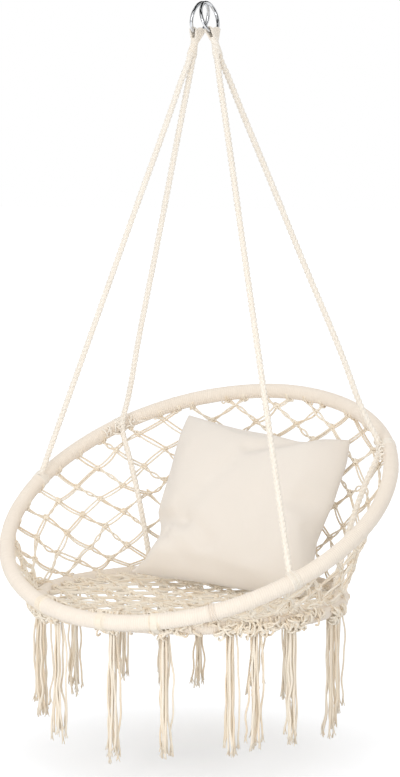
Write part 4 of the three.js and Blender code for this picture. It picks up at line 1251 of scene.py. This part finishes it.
def cushion_shape(sizes, u, v, face):
    """Each face is x = h(u(1 - 0.03(1 - v^2)) + moves), z alike, y = crown w + (soft - dents) min(1, 2w).

    w is ((1 - u^4)(1 - v^4))^0.62. The left, right and top sides are moved by their tables, which fade as
    ((1 -+ u)/2)^3 across the face. A dent from (u0, v0) to (u1, v1) lowers a face by deep exp(-(d/width)^2), d the
    distance to that line.
    """
    sides = ((v, CUSHION_LEFT), (v, CUSHION_RIGHT), (u, CUSHION_TOP))
    left, right, top = (np.interp(at, *side) for at, side in sides)
    x = sizes.half * (u * (1 - 0.03 * (1 - v**2)) + left * ((1 - u) / 2) ** 3 + right * ((1 + u) / 2) ** 3)
    z = sizes.half * (v * (1 - 0.03 * (1 - u**2)) + top * ((1 + v) / 2) ** 3)
    crown = ((1 - u**4) * (1 - v**4)) ** 0.62
    dents = np.zeros_like(u)
    for (u0, v0), (u1, v1), width, deep in CUSHION_DENTS:
        way = np.array([u1 - u0, v1 - v0])
        share = np.clip(((u - u0) * way[0] + (v - v0) * way[1]) / way.dot(way), 0, 1)
        away = np.hypot(u - u0 - share * way[0], v - v0 - share * way[1])
        dents += deep * np.exp(-((away / width) ** 2))
    soft = 0.004 * np.sin(2.6 * u + 3.4 * v + 0.6) + 0.003 * np.sin(4.7 * u - 3.1 * v + 2.1)
    return np.stack([x, face * (sizes.crown * crown + (soft - dents) * np.minimum(1, 2 * crown)), z], axis=1)


def inflated(points, quads):
    """The sewn cloth settled by Blender's Cloth with pressure and no gravity for 20 frames."""
    mesh = bpy.data.meshes.new("cushion_rest")
    mesh.from_pydata(points.tolist(), [], quads.tolist())
    sewn = bpy.data.objects.new("cushion_rest", mesh)
    scene = bpy.context.scene
    scene.collection.objects.link(sewn)
    cloth = sewn.modifiers.new("Cloth", "CLOTH")
    settings = cloth.settings
    settings.quality, settings.mass = 6, 0.25
    settings.tension_stiffness = settings.compression_stiffness = 18
    settings.shear_stiffness, settings.bending_stiffness = 8, 0.6
    settings.use_pressure, settings.uniform_pressure_force = True, 2
    settings.effector_weights.gravity = 0
    cloth.point_cache.frame_start, cloth.point_cache.frame_end = 1, 20
    for number in range(1, 21):
        scene.frame_set(number)
    settled = sewn.evaluated_get(bpy.context.evaluated_depsgraph_get()).to_mesh()
    out = np.zeros(len(settled.vertices) * 3)
    settled.vertices.foreach_get("co", out)
    bpy.data.objects.remove(sewn)
    scene.frame_set(1)
    return out.reshape(-1, 3)


class HAMMOCK_OT_cushion(bpy.types.Operator):
    """Fill the scatter cushion and set it against the net"""

    bl_idname = "hammock.cushion"
    bl_label = "Cushion"

    def execute(self, context):
        """The shape moved by up to 7 mm to the settled cloth, rolled, leaned back, turned, and set in its node's box.

        The cloth starts 3% too wide and 15% too flat. A turn by an angle takes p to p c - q s and q to p s + q c.
        """
        sizes, most = context.scene.hammock_cushion, 0.007
        u, v, face, quads = cushion_grid(sizes.cells)
        points = cushion_shape(sizes, u, v, face)
        move = inflated(points * [1.03, 0.85, 1.03], quads) - points
        far = np.linalg.norm(move, axis=1, keepdims=True)
        points = points + move * np.minimum(1, most / np.maximum(far, 1e-9))
        for i, j, angle in ((2, 0, sizes.roll), (1, 2, -sizes.lean), (0, 1, sizes.turn)):
            c, s = math.cos(angle), math.sin(angle)
            p, q = points[:, i], points[:, j]
            points[:, [i, j]] = np.stack([p * c - q * s, p * s + q * c], axis=1)
        low, high = (np.array(corner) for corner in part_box("cushion"))
        middle = (points.min(0) + points.max(0)) / 2
        points[:, :2] += ((low + high) / 2 - middle)[:2]
        points[:, 2] += high[2] - points[:, 2].max()
        points[:, 2] = np.maximum(points[:, 2], low[2])
        lay = np.stack([u * sizes.half, v * sizes.half], axis=1)[quads.reshape(-1)].reshape(-1)
        tones = np.full(len(points), 0.3)
        none = np.zeros((0, 3), int)
        piece = mesh_piece("cushion_cover", points, quads, none, tones, lay, "cushion", "cushion_cloth", "cushion")
        smooth = piece.modifiers.new("Subdivision", "SUBSURF")
        smooth.levels = smooth.render_levels = 1
        return {"FINISHED"}


def look_along(thing, direction):
    """Turns a lamp or a camera so that it looks along a direction, upright."""
    thing.rotation_mode = "QUATERNION"
    thing.rotation_quaternion = Vector(direction).to_track_quat("-Z", "Y")


def flat_square(name, corners, material):
    """A flat square of the studio, with its material."""
    mesh = bpy.data.meshes.new(name)
    mesh.from_pydata([tuple(corner) for corner in corners], [], [(0, 1, 2, 3)])
    mesh.materials.append(material)
    square = bpy.data.objects.new(name, mesh)
    bpy.context.scene.collection.objects.link(square)
    return square


class HAMMOCK_OT_stage(bpy.types.Operator):
    """Set up the floor, the studio light and the camera"""

    bl_idname = "hammock.stage"
    bl_label = "Studio"

    def execute(self, context):
        """The floor and the world show the camera and mirrors a glow of their own, which lights nothing else. The
        floor's glow is weakest at a spot under the chair and grows outwards from it, which paints a soft shadow
        there.
        """
        scene = context.scene
        floor_height, far = -1.45, 60.0
        nodes = Nodes(bpy.data.materials.new("studio_floor"))
        shader = nodes.tree.nodes["Principled BSDF"]
        tint = tuple(scene.hammock_finishes.floor)
        nodes.fill(shader, {"Base Color": tint, "Roughness": 0.9, "Specular IOR Level": 0})
        place = nodes.add("TexCoord", output="Object")
        # Painted shadow: the floor's glow rises from 0.15 at a spot 7 cm to the front of the chair's middle to 0.45
        # at 0.62 m from it
        under = nodes.add("Mapping", {"Vector": place, "Location": (0.0, 0.07, -floor_height)})
        away = nodes.add("VectorMath", {"Vector": under}, "Value", operation="LENGTH")
        reach = {"From Min": 0.0, "From Max": 0.62, "To Min": 0.15, "To Max": 0.45}
        strength = nodes.times(nodes.seen(), nodes.add("MapRange", {"Value": away, **reach}))
        both = nodes.add("AddShader", {0: shader.outputs[0], 1: nodes.add("Emission", {"Strength": strength})})
        nodes.fill(nodes.tree.nodes["Material Output"], {0: both})
        flat_square("floor", [(i * far, j * far, floor_height) for i, j in SQUARE], nodes.owner)

        nodes = Nodes(bpy.data.worlds.new("studio"))
        scene.world = nodes.owner
        strength = nodes.add("MapRange", {"Value": nodes.seen(), "To Min": 0.82, "To Max": 1.0})
        nodes.fill(nodes.tree.nodes["Background"], {"Color": (1, 1, 1), "Strength": strength})

        for name, (place, aim, size, power) in LAMPS.items():
            lamp = bpy.data.lights.new(name, "AREA")
            lamp.shape, lamp.size, lamp.energy = "DISK", size, power
            light = bpy.data.objects.new(name, lamp)
            light.location = place
            look_along(light, np.array(aim) - place)
            scene.collection.objects.link(light)

        nodes = Nodes(bpy.data.materials.new("studio_flag"))
        nodes.fill(nodes.tree.nodes["Principled BSDF"], {"Base Color": (0.01, 0.01, 0.01), "Roughness": 1})
        for name, (place, wide, tall) in FLAGS.items():
            towards = unit(-np.array(place))
            aside = unit(np.cross(towards, UP)) * wide / 2
            rise = unit(np.cross(aside, towards)) * tall / 2
            flag = flat_square(name, [place + i * aside + j * rise for i, j in SQUARE], nodes.owner)
            flag.visible_camera = flag.visible_diffuse = flag.visible_shadow = False

        camera = bpy.data.cameras.new("camera")
        camera.sensor_width, camera.lens = 36, 106.93
        camera.clip_start, camera.clip_end = 0.05, 200
        eye = bpy.data.objects.new("camera", camera)
        azimuth, elevation = math.radians(31.0), math.radians(5.3)
        level = math.cos(elevation)
        back = np.array([math.sin(azimuth) * level, -math.cos(azimuth) * level, math.sin(elevation)])
        eye.location = np.array([-0.0077, -0.0046, -0.741]) + 4.5 * back
        look_along(eye, -back)
        scene.collection.objects.link(eye)
        scene.camera = eye
        scene.view_settings.view_transform = "Standard"
        return {"FINISHED"}


class HAMMOCK_PT_pieces(bpy.types.Panel):
    """The chair's sizes and the steps that build it"""

    bl_label = "Hammock Chair"
    bl_idname = "HAMMOCK_PT_pieces"
    bl_space_type = "VIEW_3D"
    bl_region_type = "UI"
    bl_category = "Hammock Chair"

    def draw(self, context):
        """The steps as buttons, then each group of sizes in a box."""
        column = self.layout.column(align=True)
        for operator in OPERATORS:
            column.operator(operator.bl_idname)
        for name in GROUPS:
            box = self.layout.box()
            settings = getattr(context.scene, name)
            for key in settings.bl_rna.properties.keys():
                if key not in ("rna_type", "name"):
                    box.prop(settings, key)


GROUPS = {
    "hammock_hoops": HoopSizes,
    "hammock_ropes": RopeSizes,
    "hammock_net": NetSizes,
    "hammock_tassels": TasselSizes,
    "hammock_cushion": CushionSizes,
    "hammock_finishes": Finishes,
}
OPERATORS = [
    HAMMOCK_OT_stage,
    HAMMOCK_OT_tubes,
    HAMMOCK_OT_hoops,
    HAMMOCK_OT_rings,
    HAMMOCK_OT_eyes,
    HAMMOCK_OT_ropes,
    HAMMOCK_OT_back_net,
    HAMMOCK_OT_seat_net,
    HAMMOCK_OT_lashings,
    HAMMOCK_OT_tassels,
    HAMMOCK_OT_cushion,
]


def register():
    """Adds the sizes to the scene, then the operators and the panel."""
    for group in GROUPS.values():
        bpy.utils.register_class(group)
    for name, group in GROUPS.items():
        setattr(bpy.types.Scene, name, bpy.props.PointerProperty(type=group))
    for operator in OPERATORS:
        bpy.utils.register_class(operator)
    bpy.utils.register_class(HAMMOCK_PT_pieces)


def unregister():
    """Takes out what register added, in the opposite order."""
    bpy.utils.unregister_class(HAMMOCK_PT_pieces)
    for operator in reversed(OPERATORS):
        bpy.utils.unregister_class(operator)
    for name in GROUPS:
        delattr(bpy.types.Scene, name)
    for group in reversed(list(GROUPS.values())):
        bpy.utils.unregister_class(group)


def main():
    """Registers the add-on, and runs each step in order."""
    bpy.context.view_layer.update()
    register()
    for operator in OPERATORS:
        family, step = operator.bl_idname.split(".")
        getattr(getattr(bpy.ops, family), step)()


if __name__ == "__main__":
    main()
